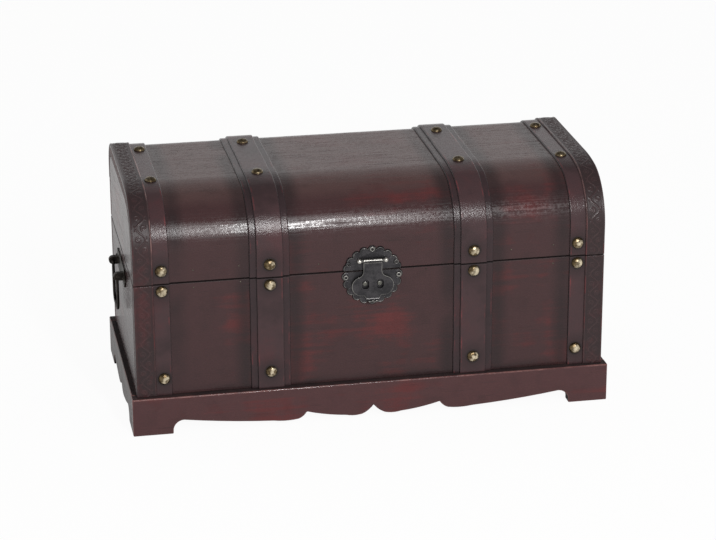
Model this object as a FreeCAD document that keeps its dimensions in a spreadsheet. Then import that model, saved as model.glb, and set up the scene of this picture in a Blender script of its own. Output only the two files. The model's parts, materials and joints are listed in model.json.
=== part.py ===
"""Decorative wooden chest: scalloped plinth, case, bent lid with straps, hasp, hinges and bail handles.

Millimetres. The origin is on the floor at the middle of the plinth, +Z is up and -Y is the front.
"""
import FreeCAD
import Part
import Sketcher
import math
import os

SIZES = {
    "end_overhang": (4.2, "plinth beyond the case at each end"),
    "front_overhang": (6.4, "plinth beyond the case at the front and the back"),
    "plinth_height": (30.8, "floor to the top of the plinth"),
    "apron_bearing": (3.6, "how far the front and back walls stand on their plinth boards"),
    "apron_edge": (1.2, "rounding of the top outer edge of a plinth board"),
    "foot_width": (31.5, "width of a foot along the floor"),
    "foot_radius": (8.5, "arch beside a foot"),
    "foot_step": (2.5, "straight side of a foot below its arch"),
    "notch_rise": (11.4, "height of the pointed notch at mid length"),
    "notch_half": (9.0, "half width of the pointed notch"),
    "lobe_rise": (4.2, "height of the ends of a lobe of the apron"),
    "lobe_width": (13.0, "flat part of the lobe beside the notch"),
    "lobe_sag": (0.8, "bulge of every scallop curve"),
    "cusp_rise": (9.8, "height of the cusp between two lobes"),
    "cusp_reach": (31.4, "from the inner lobe to the cusp"),
    "cusp_half": (6.6, "from the cusp to the outer lobe"),
    "outer_lobe": (20.0, "flat part of the outer lobe"),
    "case_width": (372.0, "outside width of case and lid"),
    "case_depth": (171.0, "outside depth of case and lid, without straps"),
    "case_height": (91.4, "height of the case walls on the plinth"),
    "wall": (9.0, "thickness of the case walls and lid ends"),
    "bottom_thickness": (6.0, "thickness of the bottom panel"),
    "seam_gap": (0.8, "gap between the case rim and the lid"),
    "lid_height": (64.2, "lower edge of the lid to the top of its board"),
    "lid_thickness": (8.0, "thickness of the bent lid board"),
    "lid_front_bend": (32.0, "inner radius of the front bend of the lid"),
    "lid_back_bend": (14.0, "inner radius of the back bend of the lid"),
    "lid_back_lip": (4.0, "short leg of the lid board below its back bend"),
    "strap_thickness": (1.4, "thickness of one strap layer"),
    "strap_edge": (0.6, "rounding of the outer strap edges"),
    "strap_turn": (10.0, "straight strap end below the back bend"),
    "mid_strap_inset": (105.5, "middle of an inner strap from the end of the case"),
    "mid_strap_width": (31.5, "lower layer of an inner strap"),
    "mid_strip_width": (21.0, "upper layer of an inner strap"),
    "end_strap_width": (28.0, "lower layer of an end strap"),
    "trim_width": (15.5, "embossed trim along each end"),
    "nail_radius": (4.8, "radius of a dome nail head"),
    "nail_dome": (3.0, "height of a dome nail head"),
    "nail_shank": (0.9, "radius of a dome nail shank"),
    "nail_length": (9.0, "length of a dome nail shank"),
    "nail_clearance": (0.05, "radial clearance of a nail in a strap or plate"),
    "lid_nail_rise": (10.5, "nails on the lid front above the lower edge of the lid"),
    "top_nail_front": (15.0, "front row of nails on the lid top behind the front bend"),
    "top_nail_back": (14.0, "back row of nails on the lid top before the back bend"),
    "case_nail_drop": (5.2, "upper nails on the case below its rim"),
    "case_nail_rise": (14.0, "lower nails on the case above the plinth"),
    "flower_drop": (3.8, "middle of the hasp plate below the case rim"),
    "flower_radius": (21.0, "radius of the hasp plate without its lobes"),
    "petal_radius": (3.6, "radius of one lobe of the hasp plate"),
    "petal_place": (20.6, "middle of a lobe from the middle of the plate"),
    "bead_radius": (18.2, "outer radius of the raised bead on the plate"),
    "bead_width": (1.6, "width of the raised bead"),
    "bead_height": (0.4, "height of the raised bead"),
    "plate_thickness": (1.2, "sheet of the hasp plates and the tongue"),
    "plate_seam": (0.3, "plate edge back from the seam"),
    "hasp_pin_rise": (8.9, "hasp pin above the case rim"),
    "hasp_pin_radius": (0.9, "radius of the hasp pin"),
    "hasp_ball": (1.6, "radius of the balls at the ends of the hasp pin"),
    "hasp_barrel": (1.7, "outer radius of the hasp knuckles"),
    "running_fit": (0.05, "radial clearance of every pin in its bore"),
    "clearance": (0.3, "gap between pieces that move past each other"),
    "neck_half": (7.35, "half width of the tongue neck"),
    "ear_width": (1.2, "width of each ear of the hasp hinge"),
    "nostril_place": (5.8, "middle of an oval hole from the middle of the tongue"),
    "nostril_drop": (10.4, "middle of the oval holes below the case rim"),
    "nostril_half": (2.7, "half width of an oval hole"),
    "nostril_straight": (1.2, "half of the straight side of an oval hole"),
    "lobe_place": (8.8, "middle of a lobe of the tongue from its middle line"),
    "lobe_drop": (11.8, "middle of the lobes of the tongue below the case rim"),
    "lobe_radius": (7.8, "radius of the lobes of the tongue"),
    "flare_radius": (5.0, "hollow between the neck of the tongue and a lobe"),
    "lip_half": (7.6, "half width of the lip where it leaves the tongue"),
    "lip_end_half": (3.3, "half width of the lip at its free edge"),
    "lip_radius": (2.2, "inner radius of the curled lip"),
    "lip_root": (1.2, "how far the lip reaches up behind the lower edge of the tongue"),
    "lip_drop": (1.6, "middle of the lip curl below the lower edge of the tongue"),
    "post_radius": (1.9, "radius of the posts behind the oval holes"),
    "plate_pin_radius": (2.1, "head radius of the pins that hold the metal plates"),
    "plate_pin_dome": (1.0, "head height of those pins"),
    "plate_pin_shank": (0.7, "shank radius of those pins"),
    "plate_pin_length": (7.0, "shank length of those pins"),
    "plate_pin_eye": (0.8, "radius of the hollow in the head"),
    "plate_pin_sink": (0.6, "depth of the hollow in the head"),
    "upper_pin_place": (19.1, "side pins of the upper plate from mid width"),
    "upper_pin_rise": (6.2, "side pins of the upper plate above the rim"),
    "top_pin_rise": (17.7, "top pin of the upper plate above the rim"),
    "lower_pin_place": (20.9, "pins of the lower plate from mid width"),
    "lower_pin_drop": (4.4, "pins of the lower plate below the rim"),
    "handle_drop": (15.0, "handle pivot below the case rim"),
    "handle_margin": (4.5, "shoulder of the handle plate beyond the lug"),
    "handle_point": (8.0, "pointed end of the handle plate beyond its shoulder"),
    "handle_rise": (7.5, "half height of the handle plate at its shoulders"),
    "handle_curve": (1.6, "hollow of the sloping ends of the handle plate"),
    "crest_half": (6.0, "half width of the crest of the handle plate"),
    "crest_rise": (2.0, "rise of the crest of the handle plate"),
    "handle_pin_step": (2.0, "pins of the handle plate beyond its shoulders"),
    "lug_place": (19.5, "middle of a lug from the middle of the handle"),
    "lug_width": (4.0, "width of a lug"),
    "lug_radius": (3.2, "radius of a lug about the pivot"),
    "pivot_reach": (5.6, "handle pivot out from the end of the case"),
    "bail_gap": (1.0, "bail leg beside its lug"),
    "bail_rod": (1.2, "radius of the bail rod"),
    "bail_pin": (1.0, "radius of the bail ends in the lugs"),
    "bail_drop": (31.0, "bail pivot to the middle of the grip"),
    "bail_bend": (8.0, "bend radius of the bail corners"),
    "hinge_inset": (66.0, "middle of a hinge from the end of the case"),
    "hinge_width": (34.0, "length of a hinge along the seam"),
    "hinge_leaf": (18.0, "height of one hinge leaf"),
    "leaf_thickness": (1.1, "sheet of a hinge leaf"),
    "knuckle_radius": (2.6, "outer radius of a hinge knuckle"),
    "knuckle_gap": (0.2, "gap between two hinge knuckles"),
    "hinge_pin_radius": (1.3, "radius of a hinge pin"),
    "stop_gap": (0.4, "hinge leaf edge clear of the other knuckles"),
    "stop_reach": (2.35, "stop lip beyond the hinge axis"),
    "screw_radius": (2.3, "head radius of a hinge screw"),
    "screw_dome": (1.3, "head height of a hinge screw"),
    "screw_shank": (1.0, "shank radius of a hinge screw"),
    "screw_length": (7.0, "shank length of a hinge screw"),
    "screw_place": (10.0, "hinge screws from the middle of the hinge"),
    "screw_margin": (6.5, "hinge screws from the free edge of the leaf"),
}
PETALS = 20
KNUCKLES = 5
FULL_TURN = 360.0
QUARTER_TURN = 90.0
X_AXIS = FreeCAD.Vector(1, 0, 0)
Y_AXIS = FreeCAD.Vector(0, 1, 0)
NOTE_COLUMN = "A"
VALUE_COLUMN = "B"
LEFT = -1
RIGHT = 1
DOWN = -1
UP = 1
# How near a vertex lies to a size that it is meant to have.
TOUCH = 0.01
# Numbers by which a sketch names its origin and the points of an edge.
ORIGIN = -1
START_POINT, END_POINT, MIDDLE_POINT = range(1, 4)
# Sides of travel towards which an arc of an outline bulges.
BULGE_RIGHT = 1
BULGE_LEFT = -1

doc = FreeCAD.newDocument("Chest")
nodes = []


class Size:
    """A length that carries its number and the sheet expression that it comes from."""

    def __init__(self, number, text):
        self.number = number
        self.text = text

    @staticmethod
    def of(value):
        """Give a Size as it is, and a plain number as a Size."""
        if isinstance(value, Size):
            return value
        return Size(float(value), "(%r)" % float(value))

    def joined(self, other, sign, number):
        """Give the Size of this length, a sign and another length."""
        return Size(number, "(%s %s %s)" % (self.text, sign, other.text))

    def __add__(self, other):
        other = Size.of(other)
        return self.joined(other, "+", self.number + other.number)

    def __sub__(self, other):
        other = Size.of(other)
        return self.joined(other, "-", self.number - other.number)

    def __mul__(self, other):
        other = Size.of(other)
        return self.joined(other, "*", self.number * other.number)

    def __truediv__(self, other):
        other = Size.of(other)
        return self.joined(other, "/", self.number / other.number)

    def __neg__(self):
        return Size.of(0) - self

    def __rmul__(self, other):
        return Size.of(other) * self


class Sheet:
    """The spreadsheet of driving sizes; each alias reads as an attribute that gives a Size."""

    def __init__(self, sizes):
        self.page = doc.addObject("Spreadsheet::Sheet", "Sizes")
        self.numbers = {}
        for row, (alias, (number, note)) in enumerate(sizes.items(), start=1):
            cell = VALUE_COLUMN + str(row)
            self.page.set(NOTE_COLUMN + str(row), note)
            self.page.set(cell, str(number))
            self.page.setAlias(cell, alias)
            self.numbers[alias] = number
        doc.recompute()

    def __getattr__(self, alias):
        return Size(self.numbers[alias], "Sizes." + alias)


class Corner:
    """One corner of an outline; the edge to the next corner is a line, or an arc if it has a radius."""

    def __init__(self, u, v, radius=None, bulge=BULGE_RIGHT):
        self.u = Size.of(u)
        self.v = Size.of(v)
        self.radius = radius
        self.bulge = bulge

    def point(self):
        """Give the corner as a vector in the sketch plane."""
        return FreeCAD.Vector(self.u.number, self.v.number, 0)


size = Sheet(SIZES)


def bind(thing, name, value):
    """Tie a property of a document object to the sheet."""
    thing.setExpression(name, Size.of(value).text)


def move(thing, x=0, y=0, z=0, axis=None, angle=0.0):
    """Place an object at sizes from the sheet, turned about one axis."""
    turn = FreeCAD.Rotation(axis, angle) if axis else FreeCAD.Rotation()
    spot = [Size.of(value) for value in (x, y, z)]
    thing.Placement = FreeCAD.Placement(FreeCAD.Vector(*[value.number for value in spot]), turn)
    for letter, value in zip("xyz", spot):
        bind(thing, "Placement.Base." + letter, value)


def node(thing, label):
    """Give a finished piece its name and put it on the list of pieces to write."""
    thing.Label = label
    nodes.append(thing)
    return thing


def box(name, x, y, z, length, width, height):
    """Make a rectangular board from its low corner and its three sizes."""
    board = doc.addObject("Part::Box", name)
    bind(board, "Length", length)
    bind(board, "Width", width)
    bind(board, "Height", height)
    move(board, x, y, z)
    return board


def rod(name, radius, length, x, y, z, axis=None, angle=0.0):
    """Make a cylinder from the middle of its base, standing along +Z until it is turned."""
    cylinder = doc.addObject("Part::Cylinder", name)
    bind(cylinder, "Radius", radius)
    bind(cylinder, "Height", length)
    move(cylinder, x, y, z, axis, angle)
    return cylinder


def cut(name, base, tool):
    """Cut a tool out of a base."""
    result = doc.addObject("Part::Cut", name)
    result.Base = base
    result.Tool = tool
    return result


def common(name, base, tool):
    """Keep what two solids share."""
    result = doc.addObject("Part::Common", name)
    result.Base = base
    result.Tool = tool
    return result


def fuse(name, pieces):
    """Join several solids into one."""
    result = doc.addObject("Part::MultiFuse", name)
    result.Shapes = pieces
    return result


def ball(name, radius, x, y, z):
    """Make a sphere."""
    sphere = doc.addObject("Part::Sphere", name)
    bind(sphere, "Radius", radius)
    move(sphere, x, y, z)
    return sphere


def mirrored(source, label, normal):
    """Make the twin of a piece on the other side of a plane through the origin."""
    twin = doc.addObject("Part::Mirroring", label)
    twin.Source = source
    twin.Normal = normal
    return node(twin, label)


def with_right_twin(source, left_label):
    """Name a piece of the left side and make its twin on the right side."""
    node(source, left_label)
    mirrored(source, left_label.replace("left", "right"), X_AXIS)


def sketch_on(body, role, name, away=0, up=0):
    """Make a sketch on an origin plane of a body, moved along the plane's normal and up the sketch."""
    sketch = body.newObject("Sketcher::SketchObject", name)
    plane = next(part for part in body.Origin.OriginFeatures if part.Role == role)
    sketch.AttachmentSupport = [(plane, "")]
    sketch.MapMode = "FlatFace"
    bind(sketch, "AttachmentOffset.Base.z", away)
    bind(sketch, "AttachmentOffset.Base.y", up)
    return sketch


def arc_between(start, end, radius, bulge):
    """Give the smaller arc from one point to another, bulging to one side of travel."""
    middle = (start + end) / 2
    chord = end - start
    left = FreeCAD.Vector(-chord.y, chord.x, 0).normalize()
    reach = math.sqrt(max(radius ** 2 - (chord.Length / 2) ** 2, 0.0))
    centre = middle + left * (reach * bulge)
    first, last = (start, end) if bulge == BULGE_RIGHT else (end, start)
    angles = [math.atan2(point.y - centre.y, point.x - centre.x) for point in (first, last)]
    circle = Part.Circle(centre, FreeCAD.Vector(0, 0, 1), radius)
    return Part.ArcOfCircle(circle, angles[0], angles[1])


def rule(sketch, value, kind, *points):
    """Add one constraint of a sketch and tie its value to the sheet."""
    number = sketch.addConstraint(Sketcher.Constraint(kind, *points, value.number))
    bind(sketch, "Constraints[%d]" % number, value)


def draw(sketch, corners, closed=True):
    """Draw an outline of lines and arcs and tie each corner and radius to the sheet."""
    first = sketch.GeometryCount
    pairs = list(zip(corners, corners[1:] + corners[:1]))
    if not closed:
        pairs.pop()
    ends = []
    for start, end in pairs:
        if start.radius is None:
            sketch.addGeometry(Part.LineSegment(start.point(), end.point()))
            ends.append((START_POINT, END_POINT))
        else:
            radius = Size.of(start.radius).number
            sketch.addGeometry(arc_between(start.point(), end.point(), radius, start.bulge))
            forward = start.bulge == BULGE_RIGHT
            ends.append((START_POINT, END_POINT) if forward else (END_POINT, START_POINT))
    spots = [(first + index, ends[index][0], start) for index, (start, end) in enumerate(pairs)]
    if not closed:
        spots.append((first + len(pairs) - 1, ends[-1][1], corners[-1]))
    for index in range(len(pairs) if closed else len(pairs) - 1):
        after = (index + 1) % len(pairs)
        pair = (first + index, ends[index][1], first + after, ends[after][0])
        sketch.addConstraint(Sketcher.Constraint("Coincident", *pair))
    for edge, position, corner in spots:
        for kind, value in (("DistanceX", corner.u), ("DistanceY", corner.v)):
            rule(sketch, value, kind, ORIGIN, START_POINT, edge, position)
    for index, (start, end) in enumerate(pairs):
        if start.radius is not None:
            rule(sketch, Size.of(start.radius), "Radius", first + index)


def draw_circle(sketch, u, v, radius):
    """Draw a circle and tie its middle and radius to the sheet."""
    place = Corner(u, v)
    circle = Part.Circle(place.point(), FreeCAD.Vector(0, 0, 1), radius.number)
    edge = sketch.addGeometry(circle)
    for kind, value in (("DistanceX", place.u), ("DistanceY", place.v)):
        rule(sketch, value, kind, ORIGIN, START_POINT, edge, MIDDLE_POINT)
    rule(sketch, radius, "Radius", edge)


def pad(body, sketch, length, name):
    """Thicken a sketch along its normal."""
    feature = body.newObject("PartDesign::Pad", name)
    feature.Profile = sketch
    bind(feature, "Length", length)
    return feature


def sweep(body, section, route, name):
    """Carry a section along a route."""
    doc.recompute()
    feature = body.newObject("PartDesign::AdditivePipe", name)
    feature.Profile = section
    feature.Spine = (route, ["Edge%d" % number for number in range(1, route.GeometryCount + 1)])
    return feature


def revolve(body, sketch, name):
    """Turn a sketch once round its vertical axis."""
    feature = body.newObject("PartDesign::Revolution", name)
    feature.Profile = sketch
    feature.ReferenceAxis = (sketch, ["V_Axis"])
    feature.Angle = FULL_TURN
    return feature


def round_edges(body, base, radius, test, name):
    """Round the straight edges of a feature whose two ends pass a test."""
    doc.recompute()
    chosen = []
    for number, edge in enumerate(base.Shape.Edges, start=1):
        if all(test(vertex.Point) for vertex in edge.Vertexes):
            chosen.append("Edge%d" % number)
    feature = body.newObject("PartDesign::Fillet", name)
    feature.Base = (base, chosen)
    bind(feature, "Radius", radius)
    return feature


def sagged(start, end, sag):
    """Give the radius of the arc between two corners that bulges by a sag."""
    du = end.u - start.u
    dv = end.v - start.v
    return (du * du + dv * dv) / (8 * sag) + sag / 2


def new_body(name):
    """Make an empty body."""
    return doc.addObject("PartDesign::Body", name)


def group(label, master, spots):
    """Repeat a small piece at many spots as one group of solids."""
    links = []
    for index, (x, y, z, axis, angle) in enumerate(spots):
        link = doc.addObject("App::Link", "%s_%d" % (label, index))
        link.LinkedObject = master
        move(link, x, y, z, axis, angle)
        links.append(link)
    bundle = doc.addObject("Part::Compound", label)
    bundle.Links = links
    return bundle


# Faces and edges that several pieces share.
front = -size.case_depth / 2
back = size.case_depth / 2
end_left = -size.case_width / 2
plinth_half_width = size.case_width / 2 + size.end_overhang
plinth_half_depth = size.case_depth / 2 + size.front_overhang
apron_thickness = size.front_overhang + size.apron_bearing
rim_height = size.plinth_height + size.case_height
lid_base = rim_height + size.seam_gap
lid_top = lid_base + size.lid_height
front_radius = size.lid_front_bend + size.lid_thickness
back_radius = size.lid_back_bend + size.lid_thickness
bend_low = lid_top - front_radius
back_bend_low = lid_top - back_radius


def half_apron(reach, has_cusp):
    """Give the lower edge of an apron from mid length to the arch beside one foot."""
    lobe_start = size.notch_half
    lobe_end = lobe_start + size.lobe_width
    corners = [Corner(0, size.notch_rise)]
    corners.append(Corner(lobe_start, size.lobe_rise))
    corners.append(Corner(lobe_end, size.lobe_rise))
    if has_cusp:
        cusp = lobe_end + size.cusp_reach
        corners.append(Corner(cusp, size.cusp_rise))
        corners.append(Corner(cusp + size.cusp_half, size.lobe_rise))
        corners.append(Corner(cusp + size.cusp_half + size.outer_lobe, size.lobe_rise))
    foot = reach - size.foot_width
    corners.append(Corner(foot - size.foot_radius, size.foot_step + size.foot_radius))
    for start, end in zip(corners, corners[1:]):
        start.radius = sagged(start, end, size.lobe_sag)
    corners[-1].radius = size.foot_radius
    corners[-1].bulge = BULGE_LEFT
    corners.append(Corner(foot, size.foot_step))
    corners.append(Corner(foot, 0))
    return corners


def whole_apron(reach, half_length, has_cusp):
    """Give the closed outline of an apron: its scalloped lower edge, both feet and the straight top."""
    right = half_apron(reach, has_cusp)
    left = []
    for corner, before in zip(reversed(right[1:]), reversed(right[:-1])):
        left.append(Corner(-corner.u, corner.v, before.radius, before.bulge))
    top = [Corner(half_length, 0), Corner(half_length, size.plinth_height)]
    top += [Corner(-half_length, size.plinth_height), Corner(-half_length, 0)]
    return left + right + top


def near(value, wanted):
    """Tell whether a number has the value of a size."""
    return abs(value - wanted.number) < TOUCH


def build_plinth():
    """Make the four scalloped boards that the case stands on."""
    top = size.plinth_height
    body = new_body("FrontApron")
    sketch = sketch_on(body, "XZ_Plane", "FrontApronOutline", plinth_half_depth - apron_thickness)
    draw(sketch, whole_apron(plinth_half_width, plinth_half_width, True))
    board = pad(body, sketch, apron_thickness, "FrontApronBoard")
    front_edge = lambda point: near(point.y, -plinth_half_depth) and near(point.z, top)
    round_edges(body, board, size.apron_edge, front_edge, "FrontApronEdge")
    node(body, "plinth_front")
    mirrored(body, "plinth_back", Y_AXIS)

    body = new_body("EndApron")
    sketch = sketch_on(body, "YZ_Plane", "EndApronOutline", -plinth_half_width)
    draw(sketch, whole_apron(plinth_half_depth, plinth_half_depth - apron_thickness, False))
    board = pad(body, sketch, apron_thickness, "EndApronBoard")
    end_edge = lambda point: near(point.x, -plinth_half_width) and near(point.z, top)
    round_edges(body, board, size.apron_edge, end_edge, "EndApronEdge")
    with_right_twin(body, "plinth_left")


def build_case():
    """Make the four walls and the bottom panel of the case."""
    inner_width = size.case_width - 2 * size.wall
    inner_depth = size.case_depth - 2 * size.wall
    floor = size.plinth_height
    wide = (size.case_width, size.wall, size.case_height)
    node(box("CaseFront", end_left, front, floor, *wide), "case_front")
    node(box("CaseBack", end_left, back - size.wall, floor, *wide), "case_back")
    deep = (size.wall, inner_depth, size.case_height)
    with_right_twin(box("CaseEnd", end_left, front + size.wall, floor, *deep), "case_left")
    panel = (inner_width, inner_depth, size.bottom_thickness)
    node(box("CaseBottom", end_left + size.wall, front + size.wall, floor, *panel), "case_bottom")


def lid_path(inset=0):
    """Give the lid's section from the front seam over the top to the end of the back bend."""
    inset = Size.of(inset)
    return [
        Corner(front + inset, lid_base),
        Corner(front + inset, bend_low, front_radius - inset, BULGE_LEFT),
        Corner(front + front_radius, lid_top - inset),
        Corner(back - back_radius, lid_top - inset, back_radius - inset, BULGE_LEFT),
        Corner(back - inset, back_bend_low),
    ]


def reverse(corners):
    """Give the same run of corners walked the other way."""
    result = []
    for corner, before in zip(reversed(corners), list(reversed(corners[:-1])) + [Corner(0, 0)]):
        result.append(Corner(corner.u, corner.v, before.radius, -before.bulge))
    return result


def build_lid():
    """Make the bent board, the two ends and the back board of the lid."""
    lip = back_bend_low - size.lid_back_lip
    inner_back = back - size.lid_thickness
    body = new_body("LidShell")
    sketch = sketch_on(body, "YZ_Plane", "LidShellOutline", end_left)
    outer = lid_path()
    inner = reverse(lid_path(size.lid_thickness))
    draw(sketch, outer + [Corner(back, lip), Corner(inner_back, lip)] + inner)
    pad(body, sketch, size.case_width, "LidShellBoard")
    node(body, "lid_shell")

    board = (size.case_width, size.lid_thickness, lip - lid_base)
    node(box("LidBack", end_left, inner_back, lid_base, *board), "lid_back")

    body = new_body("LidEnd")
    sketch = sketch_on(body, "YZ_Plane", "LidEndOutline", end_left)
    draw(sketch, lid_path(size.lid_thickness) + [Corner(inner_back, lid_base)])
    pad(body, sketch, size.wall, "LidEndBoard")
    with_right_twin(body, "lid_left")


def strap_section(sketch, middle, width, layer):
    """Draw the section of a strap on the front face, its outer edges rounded."""
    inner = front - layer * size.strap_thickness
    outer = inner - size.strap_thickness
    low = middle - width / 2
    high = middle + width / 2
    edge = size.strap_edge
    draw(sketch, [
        Corner(low, inner),
        Corner(low, outer + edge, edge, BULGE_RIGHT),
        Corner(low + edge, outer),
        Corner(high - edge, outer, edge, BULGE_RIGHT),
        Corner(high, outer + edge),
        Corner(high, inner),
    ])


def case_strap(name, middle, width, layer):
    """Make one strap layer on the front of the case."""
    body = new_body(name)
    sketch = sketch_on(body, "XY_Plane", name + "Section", size.plinth_height)
    strap_section(sketch, middle, width, layer)
    pad(body, sketch, size.case_height, name + "Layer")
    return body


def lid_strap(name, middle, width, layer):
    """Make one strap layer along the lid, from the front seam to below the back bend."""
    body = new_body(name)
    section = sketch_on(body, "XY_Plane", name + "Section", lid_base)
    strap_section(section, middle, width, layer)
    route = sketch_on(body, "YZ_Plane", name + "Route")
    draw(route, lid_path() + [Corner(back, back_bend_low - size.strap_turn)], closed=False)
    sweep(body, section, route, name + "Layer")
    return body


mid_strap_place = size.case_width / 2 - size.mid_strap_inset
end_strap_middle = end_left + size.end_strap_width / 2
trim_middle = end_left + size.trim_width / 2
end_nail_place = size.case_width / 2 - (size.end_strap_width + size.trim_width) / 2


def build_straps():
    """Make the two layers of each strap, with the nail holes, on the case and on the lid."""
    layers = [
        ("strap_left", -mid_strap_place, size.mid_strap_width, 0),
        ("strip_left", -mid_strap_place, size.mid_strip_width, 1),
        ("end_strap_left", end_strap_middle, size.end_strap_width, 0),
        ("trim_left", trim_middle, size.trim_width, 1),
    ]
    for label, middle, width, layer in layers:
        name = label.title().replace("_", "")
        for make, where, holes in ((case_strap, "case_", case_holes), (lid_strap, "lid_", lid_holes)):
            blank = make(where.title().strip("_") + name, middle, width, layer)
            if label.startswith("trim"):
                with_right_twin(blank, where + label)
            else:
                with_right_twin(cut("Drilled" + where.title().strip("_") + name, blank, holes), where + label)


def headed_pin(name, radius, dome, shank, length, eye=None, sink=None):
    """Make a pin that stands along Z: a round head on top of Z 0 and a shank below it."""
    body = new_body(name)
    sketch = sketch_on(body, "XZ_Plane", name + "Profile")
    head = (radius * radius + dome * dome) / (2 * dome)
    if eye is None:
        crown = [Corner(radius, 0, head, BULGE_RIGHT), Corner(0, dome)]
    else:
        crown = [Corner(radius, 0, dome, BULGE_RIGHT), Corner(radius - dome, dome), Corner(eye, dome)]
        crown += [Corner(eye, dome - sink), Corner(0, dome - sink)]
    draw(sketch, crown + [Corner(0, -length), Corner(shank, -length), Corner(shank, 0)])
    revolve(body, sketch, name + "Turned")
    return body


def strap_top(layer):
    """Give the thickness of the strap layers up to one of them."""
    return (layer + 1) * size.strap_thickness


def nail_columns():
    """Give the place across the chest and the strap layer of each column of nails."""
    for side in (LEFT, RIGHT):
        yield side * end_nail_place, 0
        yield side * mid_strap_place, 1


def case_nail_spots():
    """Give the places of the nails on the front of the case."""
    for place, layer in nail_columns():
        for height in (rim_height - size.case_nail_drop, size.plinth_height + size.case_nail_rise):
            yield place, front - strap_top(layer), height, X_AXIS, QUARTER_TURN


def lid_nail_spots():
    """Give the places of the nails on the front and the top of the lid."""
    for place, layer in nail_columns():
        yield place, front - strap_top(layer), lid_base + size.lid_nail_rise, X_AXIS, QUARTER_TURN
        for depth in (front + front_radius + size.top_nail_front, back - back_radius - size.top_nail_back):
            yield place, depth, lid_top + strap_top(layer), None, 0.0


def drill(name, shank, clearance, length):
    """Make the cylinder that drills the hole of a pin, on both sides of Z 0."""
    return rod(name, shank + clearance, 2 * length, 0, 0, 0)


def hole_spots(spots, depth):
    """Give the same places, sunk along each pin's axis so that a drill passes right through."""
    for x, y, z, axis, angle in spots:
        turn = FreeCAD.Rotation(axis, angle) if axis else FreeCAD.Rotation()
        inward = turn.multVec(FreeCAD.Vector(0, 0, -1))
        sunk = [Size.of(value) + depth * round(share) for value, share in zip((x, y, z), inward)]
        yield *sunk, axis, angle


nail = headed_pin("DomeNail", size.nail_radius, size.nail_dome, size.nail_shank, size.nail_length)
nail_drill = drill("NailDrill", size.nail_shank, size.nail_clearance, size.nail_length)
case_holes = group("CaseHoles", nail_drill, hole_spots(case_nail_spots(), size.nail_length))
lid_holes = group("LidHoles", nail_drill, hole_spots(lid_nail_spots(), size.nail_length))


plate_pin = headed_pin(
    "PlatePin", size.plate_pin_radius, size.plate_pin_dome, size.plate_pin_shank, size.plate_pin_length,
    size.plate_pin_eye, size.plate_pin_sink,
)
plate_drill = drill("PlatePinDrill", size.plate_pin_shank, size.nail_clearance, size.plate_pin_length)


def build_nails():
    """Make the dome nails of the case and of the lid."""
    node(group("CaseNails", nail, case_nail_spots()), "case_nails")
    node(group("LidNails", nail, lid_nail_spots()), "lid_nails")


# The hasp hangs in front of the plates; depths count outwards from the front face.
plate_face = front - size.plate_thickness
hasp_axis_depth = plate_face - size.clearance - size.hasp_barrel
hasp_axis_height = rim_height + size.hasp_pin_rise
tongue_back = hasp_axis_depth + size.plate_thickness / 2
flower_height = rim_height - size.flower_drop
flower_reach = size.petal_place + size.petal_radius


def flower_blank():
    """Make the round hasp plate with its ring of lobes and its raised bead, before it is parted."""
    body = new_body("HaspFlower")
    disc = sketch_on(body, "XZ_Plane", "FlowerDisc", -front, flower_height)
    draw_circle(disc, 0, 0, size.flower_radius)
    pad(body, disc, size.plate_thickness, "FlowerSheet")
    lobe = sketch_on(body, "XZ_Plane", "FlowerLobe", -front, flower_height)
    draw_circle(lobe, 0, size.petal_place, size.petal_radius)
    petal = pad(body, lobe, size.plate_thickness, "FlowerPetal")
    doc.recompute()
    ring = body.newObject("PartDesign::PolarPattern", "FlowerPetals")
    ring.Originals = [petal]
    ring.Axis = (lobe, ["N_Axis"])
    ring.Angle = FULL_TURN
    ring.Occurrences = PETALS
    body.Tip = ring
    bead = sketch_on(body, "XZ_Plane", "FlowerBead", -plate_face, flower_height)
    draw_circle(bead, 0, 0, size.bead_radius)
    draw_circle(bead, 0, 0, size.bead_radius - size.bead_width)
    pad(body, bead, size.bead_height, "FlowerRaisedBead")
    return body


def upper_plate_pin_spots():
    """Give the places of the pins of the upper plate."""
    places = [(0, size.top_pin_rise), (-size.upper_pin_place, size.upper_pin_rise)]
    places.append((size.upper_pin_place, size.upper_pin_rise))
    for x, rise in places:
        yield x, plate_face, rim_height + rise, X_AXIS, QUARTER_TURN


def lower_plate_pin_spots():
    """Give the places of the pins of the lower plate."""
    for side in (LEFT, RIGHT):
        yield side * size.lower_pin_place, plate_face, rim_height - size.lower_pin_drop, X_AXIS, QUARTER_TURN


def post_spots():
    """Give the places of the two posts behind the oval holes."""
    for side in (LEFT, RIGHT):
        yield side * size.nostril_place, plate_face, rim_height - size.nostril_drop, X_AXIS, QUARTER_TURN


def half_flower(name, flower, low, height):
    """Keep the part of the hasp plate between two heights."""
    deep = 2 * size.plate_thickness + size.bead_height
    frame = box(name + "Window", -flower_reach, front - deep, low, 2 * flower_reach, deep, height)
    return common(name, flower, frame)


def hasp_ear():
    """Make one ear of the hasp hinge, standing on the upper plate round the pin."""
    body = new_body("HaspEar")
    start = size.neck_half + size.clearance
    sketch = sketch_on(body, "YZ_Plane", "HaspEarOutline", -start - size.ear_width)
    low = hasp_axis_height - size.hasp_barrel
    high = hasp_axis_height + size.hasp_barrel
    tip = hasp_axis_depth - size.hasp_barrel
    draw(sketch, [
        Corner(plate_face, low),
        Corner(plate_face, high),
        Corner(hasp_axis_depth, high, size.hasp_barrel, BULGE_RIGHT),
        Corner(tip, hasp_axis_height, size.hasp_barrel, BULGE_RIGHT),
        Corner(hasp_axis_depth, low),
    ])
    pad(body, sketch, size.ear_width, "HaspEarBlock")
    return body


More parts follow.
